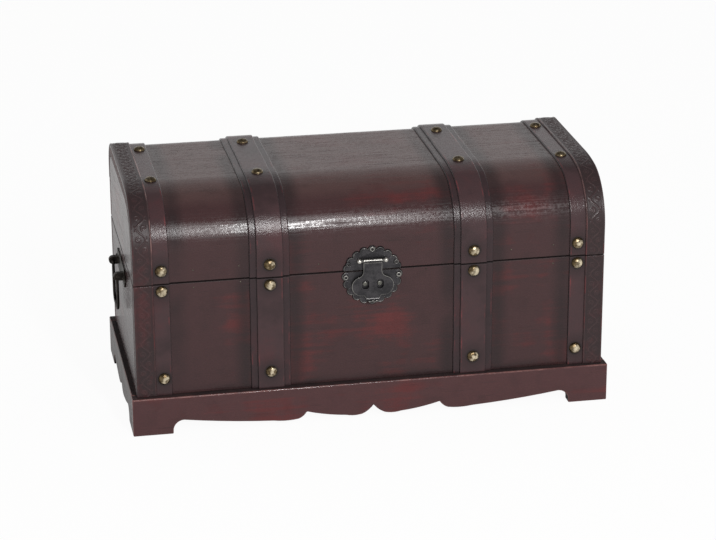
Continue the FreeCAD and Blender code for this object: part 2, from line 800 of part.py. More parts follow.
def hasp_bore(name):
    """Make the drill for the hasp pin's bore."""
    reach = size.neck_half + 2 * (size.clearance + size.ear_width)
    radius = size.hasp_pin_radius + size.running_fit
    return rod(name, radius, 2 * reach, -reach, hasp_axis_depth, hasp_axis_height, Y_AXIS, QUARTER_TURN)


def oval(middle, height):
    """Give the outline of an oval hole in the tongue."""
    half = size.nostril_half
    low = height - size.nostril_straight
    high = height + size.nostril_straight
    return [
        Corner(middle - half, low, half, BULGE_RIGHT),
        Corner(middle, low - half, half, BULGE_RIGHT),
        Corner(middle + half, low),
        Corner(middle + half, high, half, BULGE_RIGHT),
        Corner(middle, high + half, half, BULGE_RIGHT),
        Corner(middle - half, high),
    ]


tongue_middle = rim_height - size.lobe_drop
tongue_sole = tongue_middle - size.lobe_radius


def root(value):
    """Give the square root of a Size, in its expression too."""
    return Size(math.sqrt(value.number), "sqrt(%s)" % value.text)


def tongue_outline():
    """Give the outline of the tongue: a neck that flares into two round lobes."""
    across = size.neck_half + size.flare_radius - size.lobe_place
    reach = size.lobe_radius + size.flare_radius
    rise = root(reach * reach - across * across)
    share = size.lobe_radius / reach
    meet = Corner(size.lobe_place + across * share, tongue_middle + rise * share)
    side = size.lobe_place + size.lobe_radius
    return [
        Corner(-size.neck_half, hasp_axis_height),
        Corner(-size.neck_half, tongue_middle + rise, size.flare_radius, BULGE_LEFT),
        Corner(-meet.u, meet.v, size.lobe_radius, BULGE_RIGHT),
        Corner(-side, tongue_middle, size.lobe_radius, BULGE_RIGHT),
        Corner(-size.lobe_place, tongue_sole),
        Corner(size.lobe_place, tongue_sole, size.lobe_radius, BULGE_RIGHT),
        Corner(side, tongue_middle, size.lobe_radius, BULGE_RIGHT),
        Corner(meet.u, meet.v, size.flare_radius, BULGE_LEFT),
        Corner(size.neck_half, tongue_middle + rise),
        Corner(size.neck_half, hasp_axis_height),
    ]


def hasp_tongue():
    """Make the flat of the swinging tongue with its oval holes and its knuckle."""
    body = new_body("HaspTongue")
    sketch = sketch_on(body, "XZ_Plane", "TongueOutline", -tongue_back)
    draw(sketch, tongue_outline())
    for middle in (-size.nostril_place, size.nostril_place):
        draw(sketch, oval(middle, rim_height - size.nostril_drop))
    pad(body, sketch, size.plate_thickness, "TongueSheet")
    knuckle = sketch_on(body, "YZ_Plane", "TongueKnuckleCircle", -size.neck_half)
    draw_circle(knuckle, hasp_axis_depth, hasp_axis_height, size.hasp_barrel)
    pad(body, knuckle, 2 * size.neck_half, "TongueKnuckle")
    return body


def hasp_lip():
    """Make the lip that curls out of the tongue's lower edge and narrows to its free edge."""
    face = tongue_back - size.plate_thickness
    middle = face - size.lip_radius
    height = tongue_sole - size.lip_drop
    top = tongue_sole + size.lip_root
    outer = size.lip_radius + size.plate_thickness
    body = new_body("HaspLip")
    sketch = sketch_on(body, "YZ_Plane", "LipCurl", -size.lip_half)
    draw(sketch, [
        Corner(tongue_back, top),
        Corner(face, top),
        Corner(face, height, size.lip_radius, BULGE_LEFT),
        Corner(middle, height - size.lip_radius),
        Corner(middle, height - outer, outer, BULGE_RIGHT),
        Corner(tongue_back, height),
    ])
    pad(body, sketch, 2 * size.lip_half, "LipSheet")

    block = new_body("HaspLipTaper")
    sketch = sketch_on(block, "XZ_Plane", "LipTaper", -tongue_back)
    draw(sketch, [
        Corner(-size.lip_half, top),
        Corner(-size.lip_end_half, height - outer),
        Corner(size.lip_end_half, height - outer),
        Corner(size.lip_half, top),
    ])
    pad(block, sketch, size.plate_thickness + size.lip_radius, "LipTaperBlock")
    return common("TaperedLip", body, block)


def build_hasp_pin():
    """Make the pin of the hasp with a ball at each end."""
    reach = size.neck_half + 2 * size.clearance + size.ear_width + size.hasp_ball
    place = (hasp_axis_depth, hasp_axis_height)
    shaft = rod("HaspShaft", size.hasp_pin_radius, 2 * reach, -reach, *place, Y_AXIS, QUARTER_TURN)
    balls = [ball("HaspBall%d" % side, size.hasp_ball, side * reach, *place) for side in (LEFT, RIGHT)]
    node(fuse("HaspPin", [shaft] + balls), "hasp_pin")


def build_hasp():
    """Make the parted plate, the tongue on its pin, the posts and the plate pins."""
    flower = flower_blank()
    ear = hasp_ear()
    other_ear = doc.addObject("Part::Mirroring", "OtherHaspEar")
    other_ear.Source = ear
    other_ear.Normal = X_AXIS
    half = half_flower("UpperHalf", flower, lid_base + size.plate_seam, flower_reach * 2)
    upper = cut("UpperBored", fuse("UpperEared", [half, ear, other_ear]), hasp_bore("UpperBore"))
    lower_top = rim_height - size.plate_seam
    lower = half_flower("LowerHalf", flower, lower_top - flower_reach * 2, flower_reach * 2)

    depth = size.plate_pin_length
    upper_holes = group("UpperPlateHoles", plate_drill, hole_spots(upper_plate_pin_spots(), depth))
    lower_holes = group("LowerPlateHoles", plate_drill, hole_spots(lower_plate_pin_spots(), depth))
    node(cut("UpperPlate", upper, upper_holes), "hasp_upper_plate")
    node(cut("LowerPlate", lower, lower_holes), "hasp_lower_plate")
    node(group("UpperPlatePins", plate_pin, upper_plate_pin_spots()), "hasp_upper_pins")
    node(group("LowerPlatePins", plate_pin, lower_plate_pin_spots()), "hasp_lower_pins")
    tongue = fuse("LippedTongue", [hasp_tongue(), hasp_lip()])
    node(cut("BoredTongue", tongue, hasp_bore("TongueBore")), "hasp_tongue")
    build_hasp_pin()
    post = rod("HaspPost", size.post_radius, plate_face - tongue_back - size.clearance, 0, 0, 0)
    node(group("HaspPosts", post, post_spots()), "hasp_posts")


# The handle of the left end; its twin on the right is mirrored.
handle_face = end_left - size.plate_thickness
lug_inside = size.lug_place - size.lug_width / 2
lug_outside = size.lug_place + size.lug_width / 2
bail_half = lug_inside - size.bail_gap - size.bail_rod
handle_shoulder = lug_outside + size.handle_margin
handle_half = handle_shoulder + size.handle_point
handle_pin_place = handle_shoulder + size.handle_pin_step
pivot_across = end_left - size.pivot_reach
pivot_height = rim_height - size.handle_drop


def handle_plate_outline():
    """Give the outline of the handle's back plate: long, with pointed ends and a crest at mid length."""
    corners = []
    for side in (RIGHT, LEFT):
        height = pivot_height + side * size.handle_rise
        corners += [
            Corner(side * handle_half, pivot_height),
            Corner(side * handle_shoulder, height),
            Corner(side * size.crest_half, height),
            Corner(-side * size.crest_half, height),
            Corner(-side * handle_shoulder, height),
        ]
    hollow = (size.handle_curve, BULGE_LEFT)
    crest = (size.crest_rise, BULGE_RIGHT)
    edges = 2 * [hollow, None, crest, None, hollow]
    for start, end, edge in zip(corners, corners[1:] + corners[:1], edges):
        if edge:
            sag, start.bulge = edge
            start.radius = sagged(start, end, sag)
    return corners


def handle_lug(body, middle, name):
    """Add one lug to the handle plate, round about the pivot."""
    sketch = sketch_on(body, "XZ_Plane", name + "Outline", -middle - size.lug_width / 2)
    low = pivot_height - size.lug_radius
    high = pivot_height + size.lug_radius
    draw(sketch, [
        Corner(handle_face, high),
        Corner(pivot_across, high, size.lug_radius, BULGE_RIGHT),
        Corner(pivot_across - size.lug_radius, pivot_height, size.lug_radius, BULGE_RIGHT),
        Corner(pivot_across, low),
        Corner(handle_face, low),
    ])
    pad(body, sketch, size.lug_width, name)


def handle_bail():
    """Make the drop bail: a bent rod whose ends turn outwards through the lugs."""
    body = new_body("BailRod")
    section = sketch_on(body, "XY_Plane", "BailSection", pivot_height)
    draw_circle(section, pivot_across, -bail_half, size.bail_rod)
    route = sketch_on(body, "YZ_Plane", "BailRoute", pivot_across)
    low = pivot_height - size.bail_drop
    bend = size.bail_bend
    draw(route, [
        Corner(-bail_half, pivot_height),
        Corner(-bail_half, low + bend, bend, BULGE_RIGHT),
        Corner(-bail_half + bend, low),
        Corner(bail_half - bend, low, bend, BULGE_RIGHT),
        Corner(bail_half, low + bend),
        Corner(bail_half, pivot_height),
    ], closed=False)
    sweep(body, section, route, "BailSweep")
    length = lug_outside - bail_half
    pieces = [body]
    for side, start in ((LEFT, -lug_outside), (RIGHT, bail_half)):
        place = (pivot_across, start, pivot_height)
        pieces.append(rod("BailEnd%d" % side, size.bail_pin, length, *place, X_AXIS, -QUARTER_TURN))
        shoulder = (pivot_across, side * bail_half, pivot_height)
        pieces.append(ball("BailShoulder%d" % side, size.bail_rod, *shoulder))
    return fuse("Bail", pieces)


def handle_pin_spots():
    """Give the places of the pins that hold the left handle plate."""
    for side in (LEFT, RIGHT):
        yield handle_face, side * handle_pin_place, pivot_height, Y_AXIS, -QUARTER_TURN


def build_handles():
    """Make the back plate, pins and drop bail of each end handle."""
    body = new_body("HandlePlate")
    sketch = sketch_on(body, "YZ_Plane", "HandlePlateOutline", handle_face)
    draw(sketch, handle_plate_outline())
    pad(body, sketch, size.plate_thickness, "HandleSheet")
    handle_lug(body, -size.lug_place, "FrontLug")
    handle_lug(body, size.lug_place, "BackLug")
    reach = size.lug_place + size.lug_width
    radius = size.bail_pin + size.running_fit
    place = (pivot_across, -reach, pivot_height)
    bore = rod("HandleBore", radius, 2 * reach, *place, X_AXIS, -QUARTER_TURN)
    bored = cut("BoredHandlePlate", body, bore)
    holes = group("HandlePinHoles", plate_drill, hole_spots(handle_pin_spots(), size.plate_pin_length))
    with_right_twin(cut("DrilledHandlePlate", bored, holes), "handle_plate_left")
    with_right_twin(group("HandlePins", plate_pin, handle_pin_spots()), "handle_pins_left")
    with_right_twin(handle_bail(), "handle_bail_left")


# The left hinge; its twin on the right is mirrored.
hinge_place = size.case_width / 2 - size.hinge_inset
hinge_across = back + size.knuckle_radius
hinge_height = rim_height + size.seam_gap / 2
hinge_start = -hinge_place - size.hinge_width / 2
leaf_face = back + size.leaf_thickness


def hinge_leaf(name, upward, knuckles):
    """Make one hinge leaf with its stop lip and its knuckles, above or below the hinge axis."""
    body = new_body(name)
    edge = hinge_height + upward * (size.knuckle_radius + size.stop_gap)
    root = edge + upward * size.leaf_thickness
    tip = hinge_height + upward * size.hinge_leaf
    reach = hinge_across + size.stop_reach
    sketch = sketch_on(body, "YZ_Plane", name + "Outline", hinge_start)
    draw(sketch, [
        Corner(back, tip),
        Corner(leaf_face, tip),
        Corner(leaf_face, root),
        Corner(reach, root),
        Corner(reach, edge),
        Corner(back, edge),
    ])
    pad(body, sketch, size.hinge_width, name + "Sheet")
    pitch = size.hinge_width / KNUCKLES
    radius = size.knuckle_radius
    outward = BULGE_RIGHT if upward == UP else BULGE_LEFT
    for index in knuckles:
        start = hinge_start + pitch * index + size.knuckle_gap / 2
        ring = sketch_on(body, "YZ_Plane", "%sKnuckleOutline%d" % (name, index), start)
        draw(ring, [
            Corner(back, root),
            Corner(back, hinge_height, radius, outward),
            Corner(hinge_across, hinge_height - upward * radius, radius, outward),
            Corner(hinge_across + radius, hinge_height, radius, outward),
            Corner(hinge_across, hinge_height + upward * radius),
            Corner(leaf_face, hinge_height + upward * radius),
            Corner(leaf_face, root),
        ])
        pad(body, ring, pitch - size.knuckle_gap, "%sKnuckle%d" % (name, index))
    return body


def screw_spots(upward):
    """Give the places of the screws of one leaf of the left hinge."""
    height = hinge_height + upward * (size.hinge_leaf - size.screw_margin)
    for side in (LEFT, RIGHT):
        yield side * size.screw_place - hinge_place, leaf_face, height, X_AXIS, -QUARTER_TURN


def build_hinges():
    """Make the two leaves, the pin and the screws of each hinge at the back."""
    screw = headed_pin("HingeScrew", size.screw_radius, size.screw_dome, size.screw_shank, size.screw_length)
    screw_drill = drill("ScrewDrill", size.screw_shank, size.nail_clearance, size.screw_length)
    place = (hinge_start, hinge_across, hinge_height)
    for where, upward, first_knuckle in (("case", DOWN, 0), ("lid", UP, 1)):
        title = where.title()
        blank = hinge_leaf(title + "Leaf", upward, range(first_knuckle, KNUCKLES, 2))
        radius = size.hinge_pin_radius + size.running_fit
        bore = rod(title + "LeafBore", radius, size.hinge_width, *place, Y_AXIS, QUARTER_TURN)
        holes = group(title + "LeafHoles", screw_drill, hole_spots(screw_spots(upward), size.screw_length))
        leaf = cut(title + "LeafDrilled", cut(title + "LeafBored", blank, bore), holes)
        with_right_twin(leaf, "hinge_leaf_%s_left" % where)
        screws = group(title + "LeafScrews", screw, screw_spots(upward))
        with_right_twin(screws, "hinge_screws_%s_left" % where)
    pin = rod("HingePin", size.hinge_pin_radius, size.hinge_width, *place, Y_AXIS, QUARTER_TURN)
    with_right_twin(pin, "hinge_pin_left")


def check_and_write():
    """Refuse to write if anything failed to build, then write one file for each piece."""
    doc.recompute()
    for thing in doc.Objects:
        if "Invalid" in thing.State or "Error" in thing.State:
            raise RuntimeError("%s failed: %s" % (thing.Label, thing.State))
    for piece in nodes:
        if piece.Shape.isNull() or not piece.Shape.isValid():
            raise RuntimeError("%s has no valid shape" % piece.Label)
    os.makedirs("parts", exist_ok=True)
    for piece in nodes:
        piece.Shape.exportStep("parts/%s.step" % piece.Label)
        print("%-24s %d solids, %.1f mm3" % (piece.Label, len(piece.Shape.Solids), piece.Shape.Volume))


build_plinth()
build_case()
build_lid()
build_straps()
build_nails()
build_hasp()
build_handles()
build_hinges()
check_and_write()
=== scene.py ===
"""Looks of a wooden chest: boards, straps, dome nails, hasp, drop handles and hinges."""

import json
import logging
import math
from abc import ABC, abstractmethod
from dataclasses import dataclass, field
from enum import Enum
from typing import Any, Callable, Iterable, Optional, Union

import bmesh
import bpy
import numpy as np
from mathutils import Matrix, Vector

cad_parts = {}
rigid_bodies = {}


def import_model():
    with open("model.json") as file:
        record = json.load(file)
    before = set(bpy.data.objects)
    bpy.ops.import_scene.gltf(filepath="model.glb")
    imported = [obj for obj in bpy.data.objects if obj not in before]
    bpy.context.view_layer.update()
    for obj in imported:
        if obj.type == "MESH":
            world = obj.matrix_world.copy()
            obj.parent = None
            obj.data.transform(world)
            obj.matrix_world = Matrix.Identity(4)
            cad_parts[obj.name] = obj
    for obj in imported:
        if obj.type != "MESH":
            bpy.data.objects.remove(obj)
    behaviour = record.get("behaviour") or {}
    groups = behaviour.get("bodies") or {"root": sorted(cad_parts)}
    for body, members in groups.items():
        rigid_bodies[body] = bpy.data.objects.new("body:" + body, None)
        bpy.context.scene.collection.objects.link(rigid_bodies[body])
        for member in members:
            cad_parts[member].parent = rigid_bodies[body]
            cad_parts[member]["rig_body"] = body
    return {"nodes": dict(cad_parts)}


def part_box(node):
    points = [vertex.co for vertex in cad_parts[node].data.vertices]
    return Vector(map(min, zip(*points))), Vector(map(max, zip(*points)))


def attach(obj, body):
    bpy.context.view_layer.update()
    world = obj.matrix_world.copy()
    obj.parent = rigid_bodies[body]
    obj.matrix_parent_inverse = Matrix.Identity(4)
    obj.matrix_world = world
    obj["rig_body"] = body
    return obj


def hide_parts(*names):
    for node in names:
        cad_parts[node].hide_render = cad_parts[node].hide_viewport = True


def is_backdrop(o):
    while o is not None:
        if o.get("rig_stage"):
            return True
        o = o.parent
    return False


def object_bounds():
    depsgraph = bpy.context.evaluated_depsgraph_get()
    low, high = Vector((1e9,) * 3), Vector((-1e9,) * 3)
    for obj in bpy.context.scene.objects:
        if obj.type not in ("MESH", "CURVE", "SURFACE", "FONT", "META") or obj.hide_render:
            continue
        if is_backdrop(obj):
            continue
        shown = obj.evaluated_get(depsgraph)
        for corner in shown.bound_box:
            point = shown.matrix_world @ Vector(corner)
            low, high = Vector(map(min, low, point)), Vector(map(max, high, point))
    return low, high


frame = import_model()
cad_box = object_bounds()

LOG = logging.getLogger("chest")
MM = 0.001
Colour = tuple[float, float, float]
Spot = tuple[float, float, float]
Span = tuple[float, float]
# Low end, high end and, where it isn't 1, the share that a mask reaches.
Climb = tuple[float, ...]
Value = Union["Wire", float, tuple]
Sockets = dict[Union[int, str], Value]

# Places that several finishes and pieces share.
FRONT = -85.5 * MM
PLINTH_TOP = 30.8 * MM
SEAM = 122.6 * MM
SEAM_FADE = (0.6 * MM, 1.2 * MM)
# A distance beyond the whole chest, which turns a mask off.
BEYOND = 1.0

# How edges are found and rounded, with angles in degrees.
WELD = 0.002 * MM
FLAT = 0.5
PLAIN_CREASE = 38.0
SOFT_CREASE = 50.0
TURNED_CREASE = 60.0
ROUND_STEPS = 3
# Wear of a line beside a rounded edge.
LINE_RUB = 0.8
# Part of a normal at which a face looks to the front or upwards.
FRONTAL = -0.9
UPRIGHT = 0.7

# Waves of a hand-made waver.
WAVE_RATES = (1, 2.3, 4.1)
WAVE_SCALE = 1.4

# Places of a Mix node's sockets for colours.
MIX_FACTOR = 0
MIX_FIRST = 6
MIX_SECOND = 7
MIX_RESULT = 2


def tone(red: int, green: int, blue: int) -> Colour:
    """Give the linear colour of a display colour with channels of 0 to 255."""
    parts = [channel / 255 for channel in (red, green, blue)]
    return tuple(part / 12.92 if part <= 0.04045 else ((part + 0.055) / 1.055) ** 2.4 for part in parts)


def wander(along: np.ndarray, length: float, seed: int) -> np.ndarray:
    """Give a smooth hand-made waver between about -1 and 1.

    Args:
        along: Distances along the edge or surface.
        length: Length of the longest wave.
        seed: Number that picks the phases.

    Returns:
        The waver at each distance.
    """
    phases = np.random.default_rng(seed).uniform(0, 2 * math.pi, len(WAVE_RATES))
    waves = [np.sin(2 * math.pi * along * rate / length + phase) / rate
             for rate, phase in zip(WAVE_RATES, phases)]
    return sum(waves) / WAVE_SCALE


class Wire:
    """An output socket that takes part in Python expressions."""

    def __init__(self, sheet: "NodeSheet", socket: bpy.types.NodeSocket) -> None:
        """Keep the socket and the sheet that it lies on."""
        self.sheet = sheet
        self.socket = socket

    def _combine(self, operation: str, first: Value, second: Value) -> "Wire":
        """Add the node for one operation.

        Args:
            operation: Name of the Math or Vector Math operation.
            first: Left side.
            second: Right side.

        Returns:
            The result, a number where both sides are numbers and a vector elsewhere.
        """
        plain = all(part.socket.type == "VALUE" if isinstance(part, Wire) else not isinstance(part, tuple)
                    for part in (first, second))
        kind = "ShaderNodeMath" if plain else "ShaderNodeVectorMath"
        return self.sheet.node(kind, {"operation": operation}, {0: first, 1: second})

    def __add__(self, other: Value) -> "Wire":
        """Add the other side."""
        return self._combine("ADD", self, other)

    def __radd__(self, other: Value) -> "Wire":
        """Add to the other side."""
        return self._combine("ADD", other, self)

    def __sub__(self, other: Value) -> "Wire":
        """Take the other side away."""
        return self._combine("SUBTRACT", self, other)

    def __rsub__(self, other: Value) -> "Wire":
        """Take from the other side."""
        return self._combine("SUBTRACT", other, self)

    def __mul__(self, other: Value) -> "Wire":
        """Multiply by the other side."""
        return self._combine("MULTIPLY", self, other)

    def __rmul__(self, other: Value) -> "Wire":
        """Multiply the other side."""
        return self._combine("MULTIPLY", other, self)

    def __abs__(self) -> "Wire":
        """Drop the sign of a number."""
        return self.sheet.node("ShaderNodeMath", {"operation": "ABSOLUTE"}, {0: self})

    def most(self, other: Value) -> "Wire":
        """Give the larger of two numbers."""
        return self._combine("MAXIMUM", self, other)

    def _climb(self, span: Span, ends: Span) -> "Wire":
        """Add a smooth climb.

        Args:
            span: Numbers between which it climbs.
            ends: Its values below and above them.

        Returns:
            The climb.
        """
        return self.sheet.node("ShaderNodeMapRange", {"interpolation_type": "SMOOTHSTEP"}, {
            "Value": self, "From Min": span[0], "From Max": span[1], "To Min": ends[0], "To Max": ends[1]})

    def rise(self, low: float, high: float, share: float = 1.0) -> "Wire":
        """Give 0 below low, a share above high and a smooth climb between."""
        return self._climb((low, high), (0.0, share))

    def fall(self, low: float, high: float, share: float = 1.0) -> "Wire":
        """Give a share below low, 0 above high and a smooth fall between."""
        return self._climb((low, high), (share, 0.0))


@dataclass(frozen=True)
class Cloud:
    """Settings of a noise: clouds to the metre, finer layers, their weight and a shift of the place."""

    scale: float
    detail: float = 4.0
    roughness: float = 0.6
    shift: float = 0.0


class NodeSheet:
    """The nodes of one material or of the world."""

    def __init__(self, tree: bpy.types.NodeTree) -> None:
        """Start on an emptied tree."""
        tree.nodes.clear()
        self.tree = tree

    def feed(self, socket: bpy.types.NodeSocket, value: Value) -> None:
        """Link a wire to an input, or set the input to a value.

        Args:
            socket: Input socket.
            value: Wire, number, colour or vector.
        """
        if isinstance(value, Wire):
            self.tree.links.new(value.socket, socket)
        elif socket.type == "RGBA":
            socket.default_value = (*value, 1.0)
        elif socket.type == "VECTOR" and not isinstance(value, tuple):
            socket.default_value = (value, value, value)
        else:
            socket.default_value = value

    def add(self, kind: str, settings: Optional[dict[str, Any]] = None,
            sockets: Optional[Sockets] = None) -> bpy.types.Node:
        """Add a node.

        Args:
            kind: Type of the node.
            settings: Properties of the node, set before its sockets.
            sockets: Values or wires for its inputs, by name or place.

        Returns:
            The node.
        """
        made = self.tree.nodes.new(kind)
        for name, value in (settings or {}).items():
            setattr(made, name, value)
        for key, value in (sockets or {}).items():
            self.feed(made.inputs[key], value)
        return made

    def node(self, kind: str, settings: Optional[dict[str, Any]] = None,
             sockets: Optional[Sockets] = None, output: Union[int, str] = 0) -> Wire:
        """Add a node and give the output with a name or place as a wire."""
        return Wire(self, self.add(kind, settings, sockets).outputs[output])

    def place(self) -> Wire:
        """Give the point of the surface in the frame of the chest."""
        return self.node("ShaderNodeTexCoord", output="Object")

    def facing(self) -> Wire:
        """Give the direction that the surface faces in the frame of the chest."""
        return self.node("ShaderNodeTexCoord", output="Normal")

    def split(self, vector: Wire) -> list[Wire]:
        """Give the three parts of a vector."""
        made = self.add("ShaderNodeSeparateXYZ", sockets={0: vector})
        return [Wire(self, socket) for socket in made.outputs]

    def mark(self, name: str) -> Wire:
        """Give a number that the mesh carries at each point."""
        return self.node("ShaderNodeAttribute", {"attribute_name": name}, output="Fac")

    def noise(self, where: Wire, cloud: Cloud) -> Wire:
        """Give cloudy noise.

        Args:
            where: Point at which it is read.
            cloud: Settings of the noise.

        Returns:
            A number about 0.5.
        """
        return self.node("ShaderNodeTexNoise", sockets={
            "Vector": where + cloud.shift, "Scale": cloud.scale,
            "Detail": cloud.detail, "Roughness": cloud.roughness})

    @staticmethod
    def total(weights: tuple[float, ...], *wires: Wire) -> Wire:
        """Give the sum of wires, each times its weight."""
        first, *others = (wire * weight for wire, weight in zip(wires, weights))
        return sum(others, first)

    def pebbles(self, where: Wire, scale: float) -> Wire:
        """Give the distance from the middles of small cells."""
        return self.node("ShaderNodeTexVoronoi", sockets={"Vector": where, "Scale": scale})

    def blend(self, factor: Value, first: Value, second: Value) -> Wire:
        """Mix two colours.

        Args:
            factor: Share of the second colour.
            first: Colour at factor 0.
            second: Colour at factor 1.

        Returns:
            The mixed colour.
        """
        sockets = {MIX_FACTOR: factor, MIX_FIRST: first, MIX_SECOND: second}
        return self.node("ShaderNodeMix", {"data_type": "RGBA"}, sockets, MIX_RESULT)

    def bump(self, height: Wire, depth: float, strength: float) -> Wire:
        """Give a normal that follows a height.

        Args:
            height: Height from 0 to 1.
            depth: Real depth of the whole height in metres.
            strength: Share of the effect.

        Returns:
            The normal.
        """
        return self.node("ShaderNodeBump", sockets={
            "Height": height, "Distance": depth, "Strength": strength})

    def surface(self, sockets: Sockets) -> None:
        """Send a principled surface with these inputs to the output."""
        shader = self.node("ShaderNodeBsdfPrincipled", sockets=sockets)
        self.add("ShaderNodeOutputMaterial", sockets={"Surface": shader})


class Grain(Enum):
    """Way that the grain of a board runs, as clouds to the metre along each axis."""

    ALONG_WIDTH = (7.0, 190.0, 190.0)
    ALONG_DEPTH = (190.0, 7.0, 190.0)


@dataclass(frozen=True)
class Finish(ABC):
    """A surface finish that makes its material once."""

    name: str

    @abstractmethod
    def draw(self, sheet: NodeSheet) -> None:
        """Put the finish's nodes on an empty sheet."""

    def material(self) -> bpy.types.Material:
        """Give the finish's material.

        Returns:
            The material, made at the first call.
        """
        made = bpy.data.materials.get(self.name)
        if made is None:
            made = bpy.data.materials.new(self.name)
            made.use_nodes = True
            self.draw(NodeSheet(made.node_tree))
        return made


def painted_seam_shade(high: Wire) -> Wire:
    """Give 1 in the seam between case and lid and 0 away from it: the share of painted shade there."""
    return abs(high - SEAM).fall(*SEAM_FADE)


@dataclass(frozen=True)
class StainedWood(Finish):
    """Dark stained board with red rubbed patches, sprayed shading, pale worn edges, painted top sheen and
    painted shade.
    """

    grain: Grain = Grain.ALONG_WIDTH
    dusk: Colour = tone(40, 33, 34)
    body: Colour = tone(65, 45, 46)
    rubbed: Colour = tone(95, 45, 45)
    worn: Colour = tone(128, 88, 84)
    top_sheen_tone: Colour = tone(88, 67, 65)
    streaks: Cloud = Cloud(1.0, 6.0, 0.62)
    fibres: Cloud = Cloud(4.0, 3.0)
    clouds: Cloud = Cloud(19.0, 3.0, 0.5)
    mottle: Cloud = Cloud(75.0, 5.0, 0.62, 0.37)
    skin: Cloud = Cloud(430.0, 3.0)
    sprayed: tuple[float, ...] = (61 * MM, 100 * MM, 153 * MM)
    spray_reach: float = 13 * MM
    spray_fade: Climb = (0.2, 0.55, 0.75)
    mist: Climb = (0.44, 0.74, 0.225)
    foot: float = PLINTH_TOP
    foot_reach: float = 9 * MM
    foot_fade: Climb = (0.2, 0.6, 0.75)
    core: float = 150 * MM
    core_fade: float = 4 * MM
    underside: Climb = (-0.6, -0.3)
    rear: Climb = (55 * MM, 60 * MM)
    tail: Climb = (150 * MM, 156 * MM)
    # Heights over which the top of the lid takes the painted sheen.
    upper: Climb = (175 * MM, 186.5 * MM)
    upper_sheen: float = 0.8
    upper_red: float = 0.5
    redness: float = 0.0
    red_mix: tuple[float, ...] = (0.9, 0.35, 0.55)
    red_fade: Climb = (0.91, 1.14)
    red_share: float = 0.8
    pores: Climb = (0.60, 0.72, 0.4)
    wear: float = 0.25
    patch_mix: tuple[float, ...] = (0.6, 0.4)
    patches: Climb = (0.38, 0.6)
    ledge: float = BEYOND
    ledge_top: Climb = (-0.16 * MM, -0.02 * MM)
    ledge_brink: Climb = (-1.5 * MM, -0.8 * MM, 0.75)
    painted_shade_share: float = 0.9
    sawn: float = 185.2 * MM
    sawn_fade: float = 0.6 * MM
    sawn_dull: float = 0.3
    gloss: float = 0.07
    rough_mix: tuple[float, ...] = (0.1, 0.25, 0.55)
    flecks: float = 0.22
    fleck_mix: tuple[float, ...] = (0.45, 0.55)
    fleck_fade: Climb = (0.42, 0.6)
    shine: float = 0.21
    height_mix: tuple[float, ...] = (0.3, 0.3, 0.45)
    relief: float = 0.19 * MM
    bumpy: float = 0.6

    def strapped(self, sheet: NodeSheet, where: Wire) -> Wire:
        """Give 1 on the outer faces that the straps cross and 0 on all others.

        Args:
            sheet: Sheet that takes the nodes.
            where: Point of the surface.

        Returns:
            The mask.
        """
        _, deep, high = sheet.split(where)
        _, ahead, upward = sheet.split(sheet.facing())
        outside = (ahead * deep + upward * (high - self.core)).rise(0.0, self.core_fade)
        behind = deep.rise(*self.rear) * high.fall(*self.tail)
        return outside * (1.0 - upward.fall(*self.underside).most(behind))

    def spray_and_dark_foot(self, sheet: NodeSheet, where: Wire, clouds: Wire, mottle: Wire) -> Wire:
        """Give the sprayed dark beside the straps, and the darkening along the foot of the walls.

        Args:
            sheet: Sheet that takes the nodes.
            where: Point of the surface.
            clouds: Broad noise.
            mottle: Finer noise.

        Returns:
            The share of the spray.
        """
        wide, _, high = sheet.split(where)
        share = mottle.rise(*self.mist)
        if self.sprayed:
            dense = clouds.rise(*self.spray_fade) * self.strapped(sheet, where)
            for line in self.sprayed:
                share = share.most(abs(abs(wide) - line).fall(0.0, self.spray_reach) * dense)
        # Darker along the foot of the walls, just above the plinth.
        low = (high - self.foot).fall(0.0, self.foot_reach)
        return share.most(low * clouds.rise(*self.foot_fade))

    def draw(self, sheet: NodeSheet) -> None:
        """Put the stain, the sprayed dark, the darker foot, the wear, the painted sheen and shade, and the
        surface sheen on a sheet.

        Args:
            sheet: Empty sheet that takes the nodes.
        """
        where = sheet.place()
        wide, _, high = sheet.split(where)
        along = where * self.grain.value
        streaks, fibres = (sheet.noise(along, cloud) for cloud in (self.streaks, self.fibres))
        broad = (self.clouds, self.mottle, self.skin)
        clouds, mottle, skin = (sheet.noise(where, cloud) for cloud in broad)
        red = (sheet.total(self.red_mix, clouds, mottle, streaks) + self.redness).rise(*self.red_fade)
        # Painted sheen: the top of the lid is painted lighter and less red in place of its reflected light.
        raised = high.rise(*self.upper)
        colour = sheet.blend(raised * self.upper_sheen, self.body, self.top_sheen_tone)
        colour = sheet.blend(red * (self.red_share - raised * self.upper_red), colour, self.rubbed)
        colour = sheet.blend(self.spray_and_dark_foot(sheet, where, clouds, mottle), colour, self.dusk)
        pores = fibres.rise(*self.pores)
        colour = sheet.blend(pores, colour, self.dusk)
        patchy = sheet.total(self.patch_mix, mottle, streaks).rise(*self.patches)
        above = high - self.ledge
        wear = (sheet.mark("rub") * self.wear).most(above.rise(*self.ledge_brink)) * patchy
        colour = sheet.blend(wear, colour, self.worn)
        # Painted shade: the plinth's top ledge beside the walls, the marked cut faces and the seam go
        # towards dusk.
        shaded_ledge_and_cuts = above.rise(*self.ledge_top).most(sheet.mark("shade"))
        painted_shade = shaded_ledge_and_cuts.most(painted_seam_shade(high)) * self.painted_shade_share
        colour = sheet.blend(painted_shade, colour, self.dusk)
        flecks = sheet.total(self.fleck_mix, skin, fibres).rise(*self.fleck_fade, self.flecks)
        ends = abs(wide).rise(self.sawn, self.sawn + self.sawn_fade, self.sawn_dull)
        height = sheet.total(self.height_mix, streaks, fibres, skin)
        sheet.surface({
            "Base Color": colour,
            "Roughness": sheet.total(self.rough_mix, mottle, pores, painted_shade) + flecks + ends + self.gloss,
            "Specular IOR Level": self.shine,
            "Normal": sheet.bump(height, self.relief, self.bumpy),
        })


